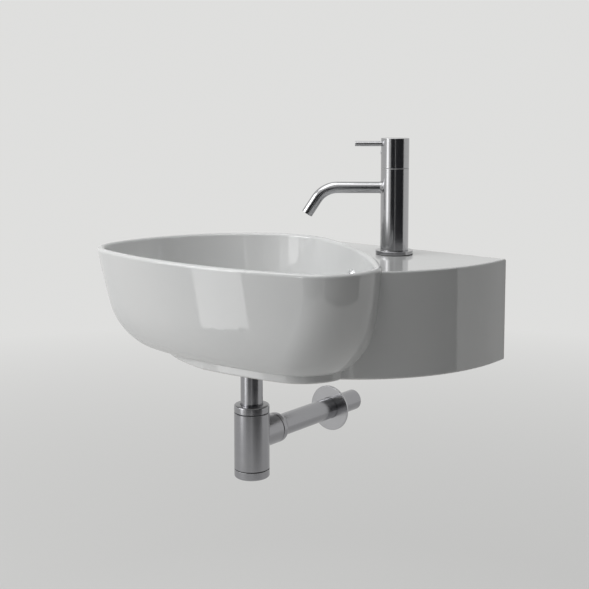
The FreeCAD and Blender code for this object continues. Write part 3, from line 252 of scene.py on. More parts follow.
def turned(name, rings, bored=False):
    """A circle drawn up through rings of radius and height, as a lathe would leave it.

    A bored piece is closed from its last ring back to its first one, any other with flat ends.
    A radius of nothing closes the piece in a point."""
    settle()
    radius, height = rings[0]
    bpy.ops.mesh.primitive_circle_add(vertices=bpy.context.scene.basin_turning.sides, radius=radius * MM)
    piece = bpy.context.object
    piece.name = piece.data.name = name
    opened(piece, "VERT", "SELECT")
    bpy.ops.transform.translate(value=(0, 0, height * MM))
    for (before, low), (after, high) in zip(rings, rings[1:]):
        extruded((0, 0, (high - low) * MM))
        if after:
            ratio = after / before
            bpy.ops.transform.resize(value=(ratio, ratio, 1), center_override=(0, 0, high * MM))
        else:
            bpy.ops.mesh.merge(type="CENTER")
    closed(bored)
    return piece


def box(name, low, high, turn):
    """A box between two corners in millimetres, turned round the Z axis by degrees."""
    settle()
    low, high = Vector(low) * MM, Vector(high) * MM
    bpy.ops.mesh.primitive_cube_add(size=1, location=(low + high) / 2)
    piece = bpy.context.object
    piece.scale = high - low
    rooted(piece, name).rotation_euler.z = math.radians(turn)
    return rooted(piece, name)


def applied(piece, kind, **values):
    """Add a modifier with its values and apply it."""
    only(piece)
    modifier = piece.modifiers.new(kind.lower(), kind)
    for key, value in values.items():
        setattr(modifier, key, value)
    bpy.ops.object.modifier_apply(modifier=modifier.name)
    return piece


def joined(piece, other, operation="UNION"):
    """Boolean of two closed pieces. The second one is used up."""
    applied(piece, "BOOLEAN", object=other, operation=operation, solver="EXACT")
    bpy.data.objects.remove(other)


def smooth(piece):
    """Shade a piece smooth, with normals that lean on its large faces."""
    only(piece)
    bpy.ops.object.shade_smooth_by_angle(angle=math.radians(36))
    return applied(piece, "WEIGHTED_NORMAL", keep_sharp=True)


def softened(piece, width, steps):
    """Break the sharp edges of a piece, by a width in metres, merge what meets and shade it smooth."""
    applied(piece, "BEVEL", width=width, segments=steps, limit_method="ANGLE", angle_limit=math.radians(32),
            harden_normals=False)
    return smooth(applied(piece, "WELD", merge_threshold=1e-6))


def stood(piece, place, axis=UP):
    """Set a piece at its place along an axis, with that place in its mesh."""
    piece.rotation_mode = "QUATERNION"
    piece.rotation_quaternion = UP.rotation_difference(Vector(axis))
    piece.location = place
    return rooted(piece, piece.name)


def rounded(radius, low, high, edge, steps=4):
    """Rings of the outside of a turned piece whose lower and upper edges are rounded alike."""
    rings = []
    for step in range(steps + 1):
        turn = math.pi / 2 * step / steps
        rings.append((radius - edge * (1 - math.sin(turn)), low + edge * (1 - math.cos(turn))))
    return rings + [(reach, high - (height - low)) for reach, height in reversed(rings)]


def threaded(radius, low, high, pitch, depth):
    """Rings of a drawn thread between two heights."""
    count = int((high - low) / pitch)
    rings = []
    for turn in range(count):
        foot = low + turn * pitch
        rings += [(radius - depth, foot), (radius, foot + pitch * 0.4), (radius, foot + pitch * 0.6)]
    return rings + [(radius - depth, low + count * pitch), (radius - depth, high)]


def grip(piece, radius, count, depth, low, high):
    """Sink evenly spaced finger grips into the side of a turned piece."""
    half_width, rim, border = 0.17, 0.4, 0.4
    opened(piece, "FACE")
    form = bmesh.from_edit_mesh(piece.data)
    for face in form.faces:
        centre = face.calc_center_median()
        outside = math.hypot(centre.x, centre.y) > (radius - rim) * MM
        level = low * MM < centre.z < high * MM
        share_of_turn = (math.atan2(centre.y, centre.x) / (2 * math.pi) * count) % 1
        face.select_set(outside and level and abs(share_of_turn - 0.5) < half_width)
    bmesh.update_edit_mesh(piece.data)
    bpy.ops.mesh.inset(thickness=border * MM)
    bpy.ops.mesh.extrude_region_shrink_fatten(TRANSFORM_OT_shrink_fatten={"value": -depth * MM})
    bpy.ops.object.mode_set(mode="OBJECT")


# Materials by name, which the first operator makes.
FINISHES = {}


def coated(thing, finish):
    """Give a piece or a CAD node one finish all over."""
    thing.data.materials.clear()
    thing.data.materials.append(FINISHES[finish])


def finished(piece, finish, slot, *nodes, body="basin"):
    """Give a finished piece its material and its body, and hide the CAD nodes it stands for; the slot is not
    used.
    """
    coated(piece, finish)
    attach(piece, body)
    if nodes:
        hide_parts(*nodes)


def dressed(finish, *names):
    """Give CAD nodes that stay visible their material."""
    for name in names:
        coated(NODES[name], finish)


# -------------------- shader groups


# Places of the colour sockets in a Mix node.
COLOUR_A, COLOUR_B, COLOUR_OUT = 6, 7, 2


def node(tree, kind, links=(), **values):
    """A node with plain values, and links from other sockets to its inputs."""
    made = tree.nodes.new(kind)
    for key, value in values.items():
        setattr(made, key, value)
    for label, source in links:
        if isinstance(source, bpy.types.NodeSocket):
            tree.links.new(source, made.inputs[label])
        else:
            made.inputs[label].default_value = source
    return made


def maths(tree, operation, *values):
    """A maths node on sockets and numbers, as its output socket."""
    return node(tree, "ShaderNodeMath", enumerate(values), operation=operation).outputs[0]


def stretched(tree, vector, factors):
    """A vector multiplied part by part."""
    links = enumerate((vector, factors))
    return node(tree, "ShaderNodeVectorMath", links, operation="MULTIPLY").outputs[0]


def noise(tree, vector, scale, detail, roughness=0.5, distortion=0.0):
    """The values of a noise pattern."""
    return node(tree, "ShaderNodeTexNoise", [
        ("Vector", vector), ("Scale", scale), ("Detail", detail), ("Roughness", roughness),
        ("Distortion", distortion)]).outputs["Fac"]


def cells(tree, vector, scale):
    """The distances and colours of scattered cells."""
    return node(tree, "ShaderNodeTexVoronoi", [("Vector", vector), ("Scale", scale), ("Randomness", 1.0)]).outputs


def ranged(tree, source, start, end, low=0.0, high=1.0):
    """A socket taken from one range to another."""
    return node(tree, "ShaderNodeMapRange", [
        ("Value", source), ("From Min", start), ("From Max", end), ("To Min", low), ("To Max", high)]).outputs[0]


def new_group(name, numbers, *results):
    """A shader group that takes a vector and numbers: itself, its vector, all given and its results."""
    group = bpy.data.node_groups.new(name, "ShaderNodeTree")
    new_socket = group.interface.new_socket
    new_socket("Vector", in_out="INPUT", socket_type="NodeSocketVector")
    for label, value in numbers.items():
        new_socket(label, in_out="INPUT", socket_type="NodeSocketFloat").default_value = value
    for label in results:
        new_socket(label, in_out="OUTPUT", socket_type="NodeSocketFloat")
    given = group.nodes.new("NodeGroupInput").outputs
    return group, given["Vector"], given, group.nodes.new("NodeGroupOutput").inputs


def put_out(group, results, **sources):
    """Link sockets inside a group to its results."""
    for label, source in sources.items():
        group.links.new(source, results[label])


def brushing_group():
    """Fine turned lines round the Z axis of the given vector, in two sizes."""
    group, vector, given, results = new_group("Brushing", {"Lines": 2600.0, "Length": 30.0}, "Height", "Streaks")
    sizes = node(group, "ShaderNodeCombineXYZ", [
        ("X", given["Length"]), ("Y", given["Length"]), ("Z", given["Lines"])])
    across = stretched(group, vector, sizes.outputs[0])
    fine = noise(group, across, 1.0, 2.0, 0.6)
    coarse = noise(group, stretched(group, across, (0.35, 0.35, 0.22)), 1.0, 3.0, 0.65)
    mixed = maths(group, "ADD", maths(group, "MULTIPLY", fine, 0.6), maths(group, "MULTIPLY", coarse, 0.4))
    put_out(group, results, Height=mixed, Streaks=coarse)


def handling_group():
    """Soft smudges and the thin outlines of dried water drops."""
    group, vector, given, results = new_group("Handling", {"Smudges": 22.0, "Drops": 90.0}, "Smudge", "Drop")
    cloud = noise(group, vector, given["Smudges"], 5.0, 0.6, 0.6)
    drops = cells(group, vector, given["Drops"])
    ring = maths(group, "ABSOLUTE", maths(group, "SUBTRACT", drops["Distance"], 0.2))
    outline = ranged(group, ring, 0.045, 0.0)
    wet = ranged(group, noise(group, vector, 11.0, 1.0), 0.55, 0.7)
    put_out(group, results, Smudge=ranged(group, cloud, 0.42, 0.72), Drop=maths(group, "MULTIPLY", outline, wet))


def glaze_group():
    """Soft ripple, pinholes and thickness of a fired glaze."""
    group, vector, given, results = new_group(
        "Glaze skin", {"Ripple": 42.0, "Pinholes": 160.0}, "Height", "Pooling", "Pinhole")
    ripple = noise(group, vector, given["Ripple"], 1.5, 0.35)
    pool = noise(group, vector, 7.0, 3.0)
    spots = cells(group, vector, given["Pinholes"])
    picked = node(group, "ShaderNodeSeparateColor", [("Color", spots["Color"])])
    rare = maths(group, "GREATER_THAN", picked.outputs[0], 0.992)
    pinhole = maths(group, "MULTIPLY", ranged(group, spots["Distance"], 0.06, 0.03), rare)
    put_out(group, results, Height=maths(group, "SUBTRACT", ripple, pinhole), Pooling=pool, Pinhole=pinhole)


def grain_group():
    """Even fine grain of rubber, plastic, cast or plated surfaces."""
    group, vector, given, results = new_group("Grain", {"Scale": 900.0}, "Height", "Patches")
    fine = noise(group, vector, given["Scale"], 4.0, 0.7)
    put_out(group, results, Height=fine, Patches=noise(group, vector, 60.0, 3.0, 0.55))


# -------------------- finishes


def tinted(base, gain):
    """A colour made lighter or darker."""
    return tuple(min(1.0, channel * gain) for channel in base)


class Finish:
    """A material under way: its tree, its shader and the vector its patterns read."""

    def __init__(self, name, roughness, metallic=0.0, axis=UP, centre=(0, 0, 0)):
        self.material = bpy.data.materials.new(name)
        self.material.use_nodes = True
        self.tree = self.material.node_tree
        self.shader = self.tree.nodes["Principled BSDF"]
        self.put("Roughness", roughness)
        self.put("Metallic", metallic)
        self.place = node(self.tree, "ShaderNodeTexCoord").outputs["Object"]
        turn = Vector(axis).rotation_difference(UP).to_euler()
        links = enumerate((self.place, tuple(centre)))
        shift = node(self.tree, "ShaderNodeVectorMath", links, operation="SUBTRACT").outputs[0]
        mapping = node(self.tree, "ShaderNodeMapping", [("Vector", shift), ("Rotation", tuple(turn))])
        self.vector = mapping.outputs["Vector"]

    def put(self, label, value):
        """Give one of the shader's own sockets a value."""
        self.shader.inputs[label].default_value = value

    def feed(self, label, source):
        """Link a socket to the shader."""
        self.tree.links.new(source, self.shader.inputs[label])

    def group(self, name, **values):
        """One of the shared groups, fed with the vector and its own values."""
        links = [("Vector", self.vector)] + [(key.capitalize(), value) for key, value in values.items()]
        return node(self.tree, "ShaderNodeGroup", links, node_tree=bpy.data.node_groups[name]).outputs

    def maths(self, operation, *values):
        """A maths node in this material."""
        return maths(self.tree, operation, *values)

    def ramp(self, *values):
        """A socket of this material taken from one range to another."""
        return ranged(self.tree, *values)

    def blend(self, factor, first, second):
        """Mix of two colours by a socket."""
        links = [(0, factor)]
        for place, source in ((COLOUR_A, first), (COLOUR_B, second)):
            links.append((place, source if isinstance(source, bpy.types.NodeSocket) else (*source, 1)))
        return node(self.tree, "ShaderNodeMix", links, data_type="RGBA").outputs[COLOUR_OUT]

    def bump(self, height, distance, strength=1.0):
        """Relief of a height, with its depth in metres."""
        relief = node(self.tree, "ShaderNodeBump", [
            ("Height", height), ("Distance", distance), ("Strength", strength)])
        self.feed("Normal", relief.outputs["Normal"])


def glazed_ceramic():
    """White fired glaze, bare clay at the wall face and under the foot."""
    glaze = bpy.context.scene.basin_glaze
    line = glaze.bare_line
    finish = Finish("glazed_ceramic", glaze.roughness)
    skin = finish.group("Glaze skin")
    marks = finish.group("Handling", smudges=9.0, drops=60.0)
    parts = node(finish.tree, "ShaderNodeSeparateXYZ", [("Vector", finish.place)])
    wall = finish.ramp(parts.outputs["Y"], -line, -line * 0.6)
    foot = finish.ramp(parts.outputs["Z"], FOOT + line * 0.4, FOOT + line, 1.0, 0.0)
    bare = finish.maths("MAXIMUM", wall, foot)
    white = finish.blend(finish.ramp(skin["Pooling"], 0.35, 0.7), glaze.white, glaze.pooled)
    spotted = finish.blend(skin["Pinhole"], white, tinted(glaze.bare, 0.6))
    finish.feed("Base Color", finish.blend(bare, spotted, glaze.bare))
    smudged = finish.ramp(marks["Smudge"], 0.0, 1.0, glaze.roughness, glaze.roughness + 0.05)
    soft = finish.maths("ADD", smudged, finish.maths("MULTIPLY", marks["Drop"], 0.05))
    finish.feed("Roughness", finish.maths("MAXIMUM", soft, finish.maths("MULTIPLY", bare, 0.62)))
    finish.bump(skin["Height"], glaze.ripple)
    finish.put("IOR", 1.52)
    finish.put("Coat Weight", 0.35)
    finish.put("Coat Roughness", 0.03)
    return finish.material


def satin_steel(name, base, roughness, axis, centre):
    """Stainless steel brushed round an axis, with faint marks of hands and water."""
    steel = bpy.context.scene.basin_steel
    finish = Finish(name, roughness, 1.0, axis, centre)
    lines = finish.group("Brushing", lines=steel.line_count)
    marks = finish.group("Handling", smudges=26.0, drops=110.0)
    streaks = finish.ramp(lines["Streaks"], 0.3, 0.7)
    body = finish.blend(streaks, tinted(base, 0.97), tinted(base, 1.03))
    dried = finish.maths("MULTIPLY", marks["Drop"], 0.06)
    finish.feed("Base Color", finish.blend(dried, body, tinted(base, 1.25)))
    rough = finish.maths(
        "ADD", finish.ramp(lines["Streaks"], 0.3, 0.7, roughness - 0.025, roughness + 0.025),
        finish.maths("MULTIPLY", marks["Smudge"], 0.035))
    finish.feed("Roughness", finish.maths("ADD", rough, finish.maths("MULTIPLY", marks["Drop"], 0.03)))
    finish.bump(lines["Height"], steel.brush, 0.5)
    return finish.material


def polished(name, base, roughness=0.06):
    """Chrome plating with smudges and dried drops."""
    finish = Finish(name, roughness, 1.0)
    marks = finish.group("Handling", smudges=34.0, drops=120.0)
    smudged = finish.maths("MULTIPLY", marks["Smudge"], 0.3)
    finish.feed("Base Color", finish.blend(smudged, base, tinted(base, 0.93)))
    finish.feed("Roughness", finish.maths(
        "ADD", finish.ramp(marks["Smudge"], 0.0, 1.0, roughness, roughness + 0.06),
        finish.maths("MULTIPLY", marks["Drop"], 0.14)))
    finish.bump(marks["Drop"], 0.00002, 0.4)
    return finish.material


def grained(name, base, second, roughness, metallic, scale, depth=0.00005):
    """Plain plastic, rubber or plating with its own grain and patches."""
    finish = Finish(name, roughness, metallic)
    grain = finish.group("Grain", scale=scale)
    finish.feed("Base Color", finish.blend(finish.ramp(grain["Patches"], 0.35, 0.65), base, second))
    finish.feed("Roughness", finish.ramp(grain["Patches"], 0.3, 0.7, roughness - 0.06, roughness + 0.08))
    finish.bump(grain["Height"], depth, 0.6)
    return finish.material


# -------------------- pieces


class BASIN_OT_finishes(Operator):
    """Make the materials of the basin"""

    bl_idname = "basin.finishes"
    bl_label = "Finishes"

    def execute(self, context):
        for make_group in (brushing_group, handling_group, glaze_group, grain_group):
            make_group()
        steel = context.scene.basin_steel
        FINISHES.update(
            glaze=glazed_ceramic(),
            tap=satin_steel("tap_steel", steel.tap, steel.tap_roughness, UP, TAP),
            spout=satin_steel("spout_steel", steel.tap, steel.tap_roughness, SPOUT_AXIS, TAP),
            trap=satin_steel("trap_steel", steel.trap, steel.trap_roughness, UP, DRAIN),
            outlet=satin_steel("outlet_steel", steel.trap, steel.trap_roughness, TO_WALL, OUTLET),
            # The rosette gets the trap's steel with a lighter colour: painted light for the brightness that it
            # catches, not a different steel.
            rosette=satin_steel("rosette_steel", steel.rosette, steel.trap_roughness, TO_WALL, OUTLET),
            chrome=polished("chrome", steel.chrome),
            brass=grained("turned_brass", (0.62, 0.46, 0.20), (0.55, 0.40, 0.17), 0.32, 1.0, 700.0),
            zinc=grained("zinc_plate", (0.58, 0.59, 0.60), (0.50, 0.50, 0.49), 0.38, 1.0, 500.0),
            wire=grained("spring_wire", (0.56, 0.56, 0.57), (0.46, 0.46, 0.47), 0.25, 1.0, 1200.0),
            rubber=grained("black_rubber", (0.018, 0.018, 0.018), (0.03, 0.03, 0.03), 0.62, 0.0, 1400.0),
            white_plastic=grained("white_plastic", (0.74, 0.74, 0.72), (0.70, 0.70, 0.68), 0.42, 0.0, 1100.0),
            dark_plastic=grained("dark_plastic", (0.05, 0.05, 0.055), (0.07, 0.07, 0.075), 0.40, 0.0, 1100.0),
            disc=grained("lapped_ceramic", (0.80, 0.78, 0.72), (0.76, 0.74, 0.68), 0.16, 0.0, 1500.0, 0.00001),
        )
        return {"FINISHED"}


class BASIN_OT_ceramic(Operator):
    """Glaze the ceramic and polish its overflow ring"""

    bl_idname = "basin.ceramic"
    bl_label = "Ceramic"

    def execute(self, context):
        dressed("glaze", "basin_ceramic")
        dressed("chrome", "overflow_ring")
        return {"FINISHED"}


class BASIN_OT_waste(Operator):
    """Model the flanged, threaded waste with its slots, hub and arms, and its nut"""

    bl_idname = "basin.waste"
    bl_label = "Waste"

    def execute(self, context):
        low, high = heights("waste_body")
        depth = context.scene.basin_turning.thread / MM
        flange_low = high - 2.5
        tail = [(18.3, low), (19.9, low)] + threaded(20.9, low + 0.8, flange_low - 2, 2.309, depth)
        flange = [(20.6, flange_low), (31.2, flange_low), (31.5, flange_low + 0.5), (31.3, high - 0.9),
                  (30.6, high - 0.25), (29.4, high), (21.5, high), (19.6, high - 0.5), (18.6, high - 1.6),
                  (18.3, high - 3)]
        waste = turned("drain_waste", tail + flange, bored=True)
        slot_mid = (FOOT - DECK) / MM + 15
        for turn in (0, 90):
            slot = box("slot_cutter", (-24, -4, slot_mid - 3.5), (24, 4, slot_mid + 3.5), turn)
            joined(waste, slot, "DIFFERENCE")
        hub = turned("drain_hub", [(4.8, HUB_LOW), (7, HUB_LOW), (7, HUB_HIGH), (4.8, HUB_HIGH)], bored=True)
        joined(waste, softened(hub, 0.0003, 3))
        for turn in (0, 120, 240):
            joined(waste, box("drain_arm", (5.6, -2, HUB_LOW), (18.8, 2, HUB_HIGH), turn))
        finished(stood(smooth(waste), DRAIN), "chrome", "bright_chrome", "waste_body")

        low = heights("waste_back_nut")[0]
        nut = turned("drain_nut", [
            (21.05, low), (28.2, low), (29, low + 0.8), (29, low + 9.2), (28.2, low + 10), (21.05, low + 10),
        ], bored=True)
        grip(nut, 29, 8, 1.6, low + 1, low + 9)
        finished(stood(softened(nut, 0.0003, 2), DRAIN), "brass", "raw_brass", "waste_back_nut")
        return {"FINISHED"}


class BASIN_OT_plug(Operator):
    """Model the domed plug with its gasket and stem, and the spring under it"""

    bl_idname = "basin.plug"
    bl_label = "Plug"

    def execute(self, context):
        low, high = heights("plug_cap")
        rim = [(12, low + 1.1), (26.5, low + 1.1), (27.5, low), (28.9, low), (29.7, low + 0.35), (30, low + 1.0),
               (29.85, low + 1.6), (29.4, low + 2.05)]
        crown, reach = 3.4, 29.0
        dome = [(reach * math.cos(turn), high - crown + crown * math.sin(turn))
                for turn in map(math.radians, range(6, 90, 7))]
        cap = turned("plug_dome", [(5.2, low), (12, low)] + rim + dome + [(0, high)])
        finished(stood(smooth(cap), DRAIN), "chrome", "bright_chrome", "plug_cap", body="plug")

        base = heights("plug_seal")[0]
        gasket = turned("plug_gasket", [
            (5.2, base), (14.2, base), (15.4, base + 0.9), (16.9, base + 1.2), (17.2, base + 1.6),
            (16.9, base + 2.0), (15.4, base + 2.3), (14.8, low), (5.2, low)], bored=True)
        finished(stood(softened(gasket, 0.0002, 2), DRAIN), "rubber", "black_rubber", "plug_seal", body="plug")

        foot = heights("plug_stem")[0]
        stem = turned("plug_rod", [
            (3.2, foot), (4, foot + 0.8), (4, low - 9), (3.3, low - 8.4), (3.3, low - 7.4), (4, low - 6.8),
            (4, low)])
        finished(stood(softened(stem, 0.0001, 2), DRAIN), "brass", "raw_brass", "plug_stem", body="plug")

        coil_low, coil_high = (corner.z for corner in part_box("plug_spring"))
        tall = coil_high - coil_low
        spring = stood(self.coil(2.95 * MM, 0.35 * MM, tall), Vector((DRAIN.x, DRAIN.y, coil_low)))
        finished(spring, "wire", "spring_steel", "plug_spring")
        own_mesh(spring)
        return {"FINISHED"}

    def coil(self, radius, wire, tall):
        """A coil spring with closed ends, wound up from the origin."""
        settle()
        turns = 4
        steps = 28 * turns
        bpy.ops.mesh.primitive_circle_add(vertices=10, radius=wire, location=(radius, 0, wire),
                                          rotation=(math.pi / 2, 0, 0), fill_type="NGON")
        spring = rooted(bpy.context.object, "plug_coil")
        applied(spring, "SCREW", angle=2 * math.pi * turns, screw_offset=tall - 2 * wire, steps=steps,
                render_steps=steps, use_merge_vertices=False)
        opened(spring, "VERT", "SELECT")
        bpy.ops.mesh.remove_doubles(threshold=1e-6)
        closed()
        return smooth(spring)


class BASIN_OT_inlet(Operator):
    """Model the union nut, the inlet tube and the collar nut of the trap"""

    bl_idname = "basin.inlet"
    bl_label = "Trap inlet"

    def execute(self, context):
        low, high = heights("inlet_nut")
        outside = rounded(24.5, low, high, 0.9)
        groove = [(24.5, low + 3.6), (24.15, low + 3.75), (24.15, low + 4.15), (24.5, low + 4.3)]
        half = len(outside) // 2
        rings = [(SLIP, low)] + outside[:half] + groove + outside[half:] + [
            (21.4, high), (21.05, high - 0.5), (21.05, low + 2.5), (SLIP, low + 2.5)]
        nut = turned("inlet_union", rings, bored=True)
        finished(stood(smooth(nut), DRAIN), "trap", "trap_steel", "inlet_nut")

        low, high = heights("inlet_tube")
        tube = turned("inlet_pipe", [
            (BORE, low), (15.6, low), (TUBE, low + 0.4), (TUBE, high - 3.4), (16.5, high - 2.1),
            (17.5, high - 1.55), (19.6, high - 1.5), (20, high - 1.1), (20, high - 0.2), (19.7, high),
            (16.6, high), (15.5, high - 0.6), (BORE, high - 2)], bored=True)
        finished(stood(smooth(tube), DRAIN), "trap", "trap_steel", "inlet_tube")

        low, high = heights("collar_nut")
        collar = turned("collar_union", [
            (22.15, low), (25.0, low), (BOTTLE, low + 0.5), (BOTTLE, high - 1.9), (25.35, high - 1.3),
            (24.9, high - 0.75), (24.3, high - 0.3), (23.6, high - 0.05), (17.0, high), (16.5, high - 0.2),
            (SLIP, high - 0.6), (SLIP, high - 2.5), (22.15, high - 2.5)], bored=True)
        finished(stood(smooth(collar), DRAIN), "trap", "trap_steel", "collar_nut")
        return {"FINISHED"}


class BASIN_OT_bottle(Operator):
    """Model the bottle with the welded stub of its outlet, and its cup"""

    bl_idname = "basin.bottle"
    bl_label = "Bottle"

    def execute(self, context):
        low, high = heights("trap_bottle")
        shoulder = heights("collar_nut")[0] - 1
        bottle = turned("bottle", [
            (25.1, low), (BOTTLE, low + 0.4), (BOTTLE, shoulder - 0.5), (25.0, shoulder), (22, shoulder),
            (22, high)])
        stub_start = Vector((0, -DRAIN.y, OUTLET_DROP * MM))
        stub = turned("outlet_stub", [
            (STUB, -184), (STUB, -137.9), (21.6, -137.5), (19.5, -137.5), (19.5, -131)])
        joined(bottle, stood(stub, stub_start, TO_WALL))
        self.weld(bottle)
        inside = turned("inside", [(23.5, low - 1), (23.5, shoulder - 3)])
        joined(bottle, inside, "DIFFERENCE")
        neck = turned("neck", [(SLIP, shoulder - 8), (SLIP, high + 1)])
        joined(bottle, neck, "DIFFERENCE")
        for name, radius, start, end in (("socket", SLIP, -157, -120), ("mouth", BORE, -184, -150)):
            cutter = turned(name, [(radius, start), (radius, end)])
            joined(bottle, stood(cutter, stub_start, TO_WALL), "DIFFERENCE")
        finished(stood(smooth(bottle), DRAIN), "trap", "trap_steel", "trap_bottle")

        low, high = heights("trap_cup")
        seam = high - 8
        foot = rounded(BOTTLE, low, seam, 2.8, 7)[:8]
        cup = turned("bottle_cup", [(14, low + 0.35), (15, low)] + foot + [
            (BOTTLE, seam - 0.4), (25.1, seam), (23.35, seam), (23.35, high - 0.3), (23.05, high), (21.65, high),
            (21.35, high - 0.3), (21.35, low + 4), (20, low + 2.5)])
        finished(stood(smooth(cup), DRAIN), "trap", "trap_steel", "trap_cup")
        return {"FINISHED"}

    def weld(self, bottle):
        """Round the inner corner where the stub meets the bottle."""
        near, bent, width = 0.1, 0.15, 1.3
        opened(bottle, "EDGE")
        form = bmesh.from_edit_mesh(bottle.data)
        for edge in form.edges:
            spot = (edge.verts[0].co + edge.verts[1].co) / 2
            from_axis = math.hypot(spot.x, spot.y) / MM
            from_stub = math.hypot(spot.x, spot.z - OUTLET_DROP * MM) / MM
            meets = abs(from_axis - BOTTLE) < near and abs(from_stub - STUB) < near and spot.y > 0
            edge.select_set(meets and len(edge.link_faces) == 2 and edge.calc_face_angle(0) > bent)
        bmesh.update_edit_mesh(bottle.data)
        bpy.ops.mesh.bevel(offset=width * MM, segments=4, affect="EDGES", clamp_overlap=True)
        bpy.ops.object.mode_set(mode="OBJECT")


class BASIN_OT_outlet(Operator):
    """Model the outlet nut, the pipe into the wall and its rosette"""

    bl_idname = "basin.outlet"
    bl_label = "Outlet"

    def execute(self, context):
        low, high = depths("outlet_nut")
        across, deep = 5.2, 6
        rings = [(19.65, low), (21.6, low), (STUB, low + 0.4), (STUB, high - deep)]
        rings += [(STUB - across * (1 - math.cos(turn)), high - deep + deep * math.sin(turn))
                  for turn in (math.pi / 2 * step / 8 for step in range(1, 9))]
        rings += [(SLIP, high - 0.3), (SLIP, high - 2.5), (19.65, high - 2.5)]
        nut = turned("outlet_union", rings, bored=True)
        finished(stood(smooth(nut), OUTLET, TO_WALL), "outlet", "trap_steel", "outlet_nut")

        low, high = depths("outlet_pipe")
        pipe = turned("outlet_tube", [
            (BORE, low), (15.8, low), (TUBE, low + 0.2), (TUBE, -1.7), (15.7, -1.4), (15.7, -0.1), (TUBE, 0.2),
            (TUBE, high - 0.5), (15.7, high), (15.2, high), (BORE, high - 0.2)], bored=True)
        finished(stood(smooth(pipe), OUTLET, TO_WALL), "outlet", "trap_steel", "outlet_pipe")

        low, high = depths("wall_rosette")
        rosette = turned("wall_plate", [
            (SLIP, low + 1.2), (SLIP, low + 0.2), (16.6, low), (33.9, low), (34.6, low + 0.2), (35.0, low + 0.65),
            (35.1, low + 1.2), (35.1, high), (33.9, high), (33.9, low + 1.2)], bored=True)
        finished(stood(smooth(rosette), OUTLET, TO_WALL), "rosette", "trap_steel", "wall_rosette")
        return {"FINISHED"}


class BASIN_OT_tap_body(Operator):
    """Model the tap's base ring and its body with the weld of the spout"""

    bl_idname = "basin.tap_body"
    bl_label = "Tap body"

    def execute(self, context):
        low, high = heights("base_ring")
        base = turned("tap_base", [(15, low)] + rounded(26.2, low, high, 0.5, 3) + [(15, high)], bored=True)
        finished(stood(smooth(base), TAP), "tap", "satin_steel", "base_ring")

        low, high = heights("tap_body")
        rings = rounded(TAP_RADIUS, low, high, 0.35, 3)
        body = turned("tap_column", rings + [
            (15.65, high), (15.65, high - 7), (13.15, high - 7), (13.15, high - 17), (6, high - 17)])
        smooth(body)
        bead = turned("spout_weld", [(9.7, 15), (9.7, 18.0), (9.2, 19.2), (8.6, 20.2), (8.25, 21.2)])
        joined(body, stood(bead, Vector((0, 0, SPOUT_HEIGHT * MM)), SPOUT_AXIS))
        for side in (-6.5, 6.5):
            port = turned("port", [(5, low - 1), (5, low + 12)])
            joined(body, stood(port, (SPOUT_AXIS * 6 + SPOUT_ASIDE * side) * MM), "DIFFERENCE")
        finished(stood(smooth(body), TAP), "tap", "satin_steel", "tap_body")
        return {"FINISHED"}


class BASIN_OT_spout(Operator):
    """Draw the bent spout tube and fit its aerator"""

    bl_idname = "basin.spout"
    bl_label = "Spout"

    def execute(self, context):
        settle()
        radius, start, straight, bend, tail = 8, 17, 63, 35, 24.6
        sides = context.scene.basin_turning.sides // 2
        turn = math.radians(57)
        ahead = Vector((math.cos(turn), 0, -math.sin(turn)))
        bpy.ops.mesh.primitive_circle_add(vertices=sides, radius=radius * MM, rotation=(0, math.pi / 2, 0))
        spout = rooted(context.object, "spout")
        opened(spout, "VERT", "SELECT")
        bpy.ops.transform.translate(value=(start * MM, 0, 0))
        extruded((straight * MM, 0, 0))
        bpy.ops.mesh.spin(
            steps=19, angle=-turn, center=((start + straight) * MM, 0, -bend * MM), axis=(0, 1, 0))
        extruded(ahead * tail * MM)
        for step, scale in ((0.4, 7.6 / 8), (0.0, 7.0 / 7.6), (-0.3, 6.8 / 7.0), (-14, 1.0)):
            extruded(ahead * step * MM)
            bpy.ops.transform.resize(value=(scale,) * 3, center_override=self.selected_centre(spout))
        bpy.ops.mesh.edge_face_add()
        closed()
        spout.rotation_euler.z = math.atan2(SPOUT_AXIS.y, SPOUT_AXIS.x)
        spout.location = TAP + UP * SPOUT_HEIGHT * MM
        finished(smooth(rooted(spout, "spout")), "spout", "satin_steel", "tap_spout")
        dressed("chrome", "aerator_housing")
        dressed("dark_plastic", "aerator_insert")
        return {"FINISHED"}

    def selected_centre(self, piece):
        """Centre of the selected vertices in edit mode."""
        form = bmesh.from_edit_mesh(piece.data)
        chosen = [vertex.co.copy() for vertex in form.verts if vertex.select]
        return sum(chosen, Vector()) / len(chosen)


class BASIN_OT_tap_head(Operator):
    """Model the turning head with its pin lever and index cap"""

    bl_idname = "basin.tap_head"
    bl_label = "Tap head"

    def execute(self, context):
        low, high = heights("tap_head")
        head = turned("head", [(17, low + 17), (17, low)] + rounded(TAP_RADIUS, low, high, 0.4))
        finished(stood(smooth(head), TAP), "tap", "satin_steel", "tap_head", body="tap_head")

        lever = turned("lever", rounded(3.6, 18.5, 56, 0.6))
        stood(smooth(lever), TAP + UP * LEVER_HEIGHT * MM, SPOUT_AXIS)
        finished(lever, "spout", "satin_steel", "tap_lever", body="tap_head")

        cap = turned("index", [(2.5, 15.5), (2.5, 20.05), (2.3, 20.3), (1.9, 20.42), (1.0, 20.45)])
        stood(smooth(cap), TAP + UP * CAP_HEIGHT * MM, SPOUT_AXIS)
        finished(cap, "chrome", "bright_chrome", "index_cap", body="tap_head")
        return {"FINISHED"}


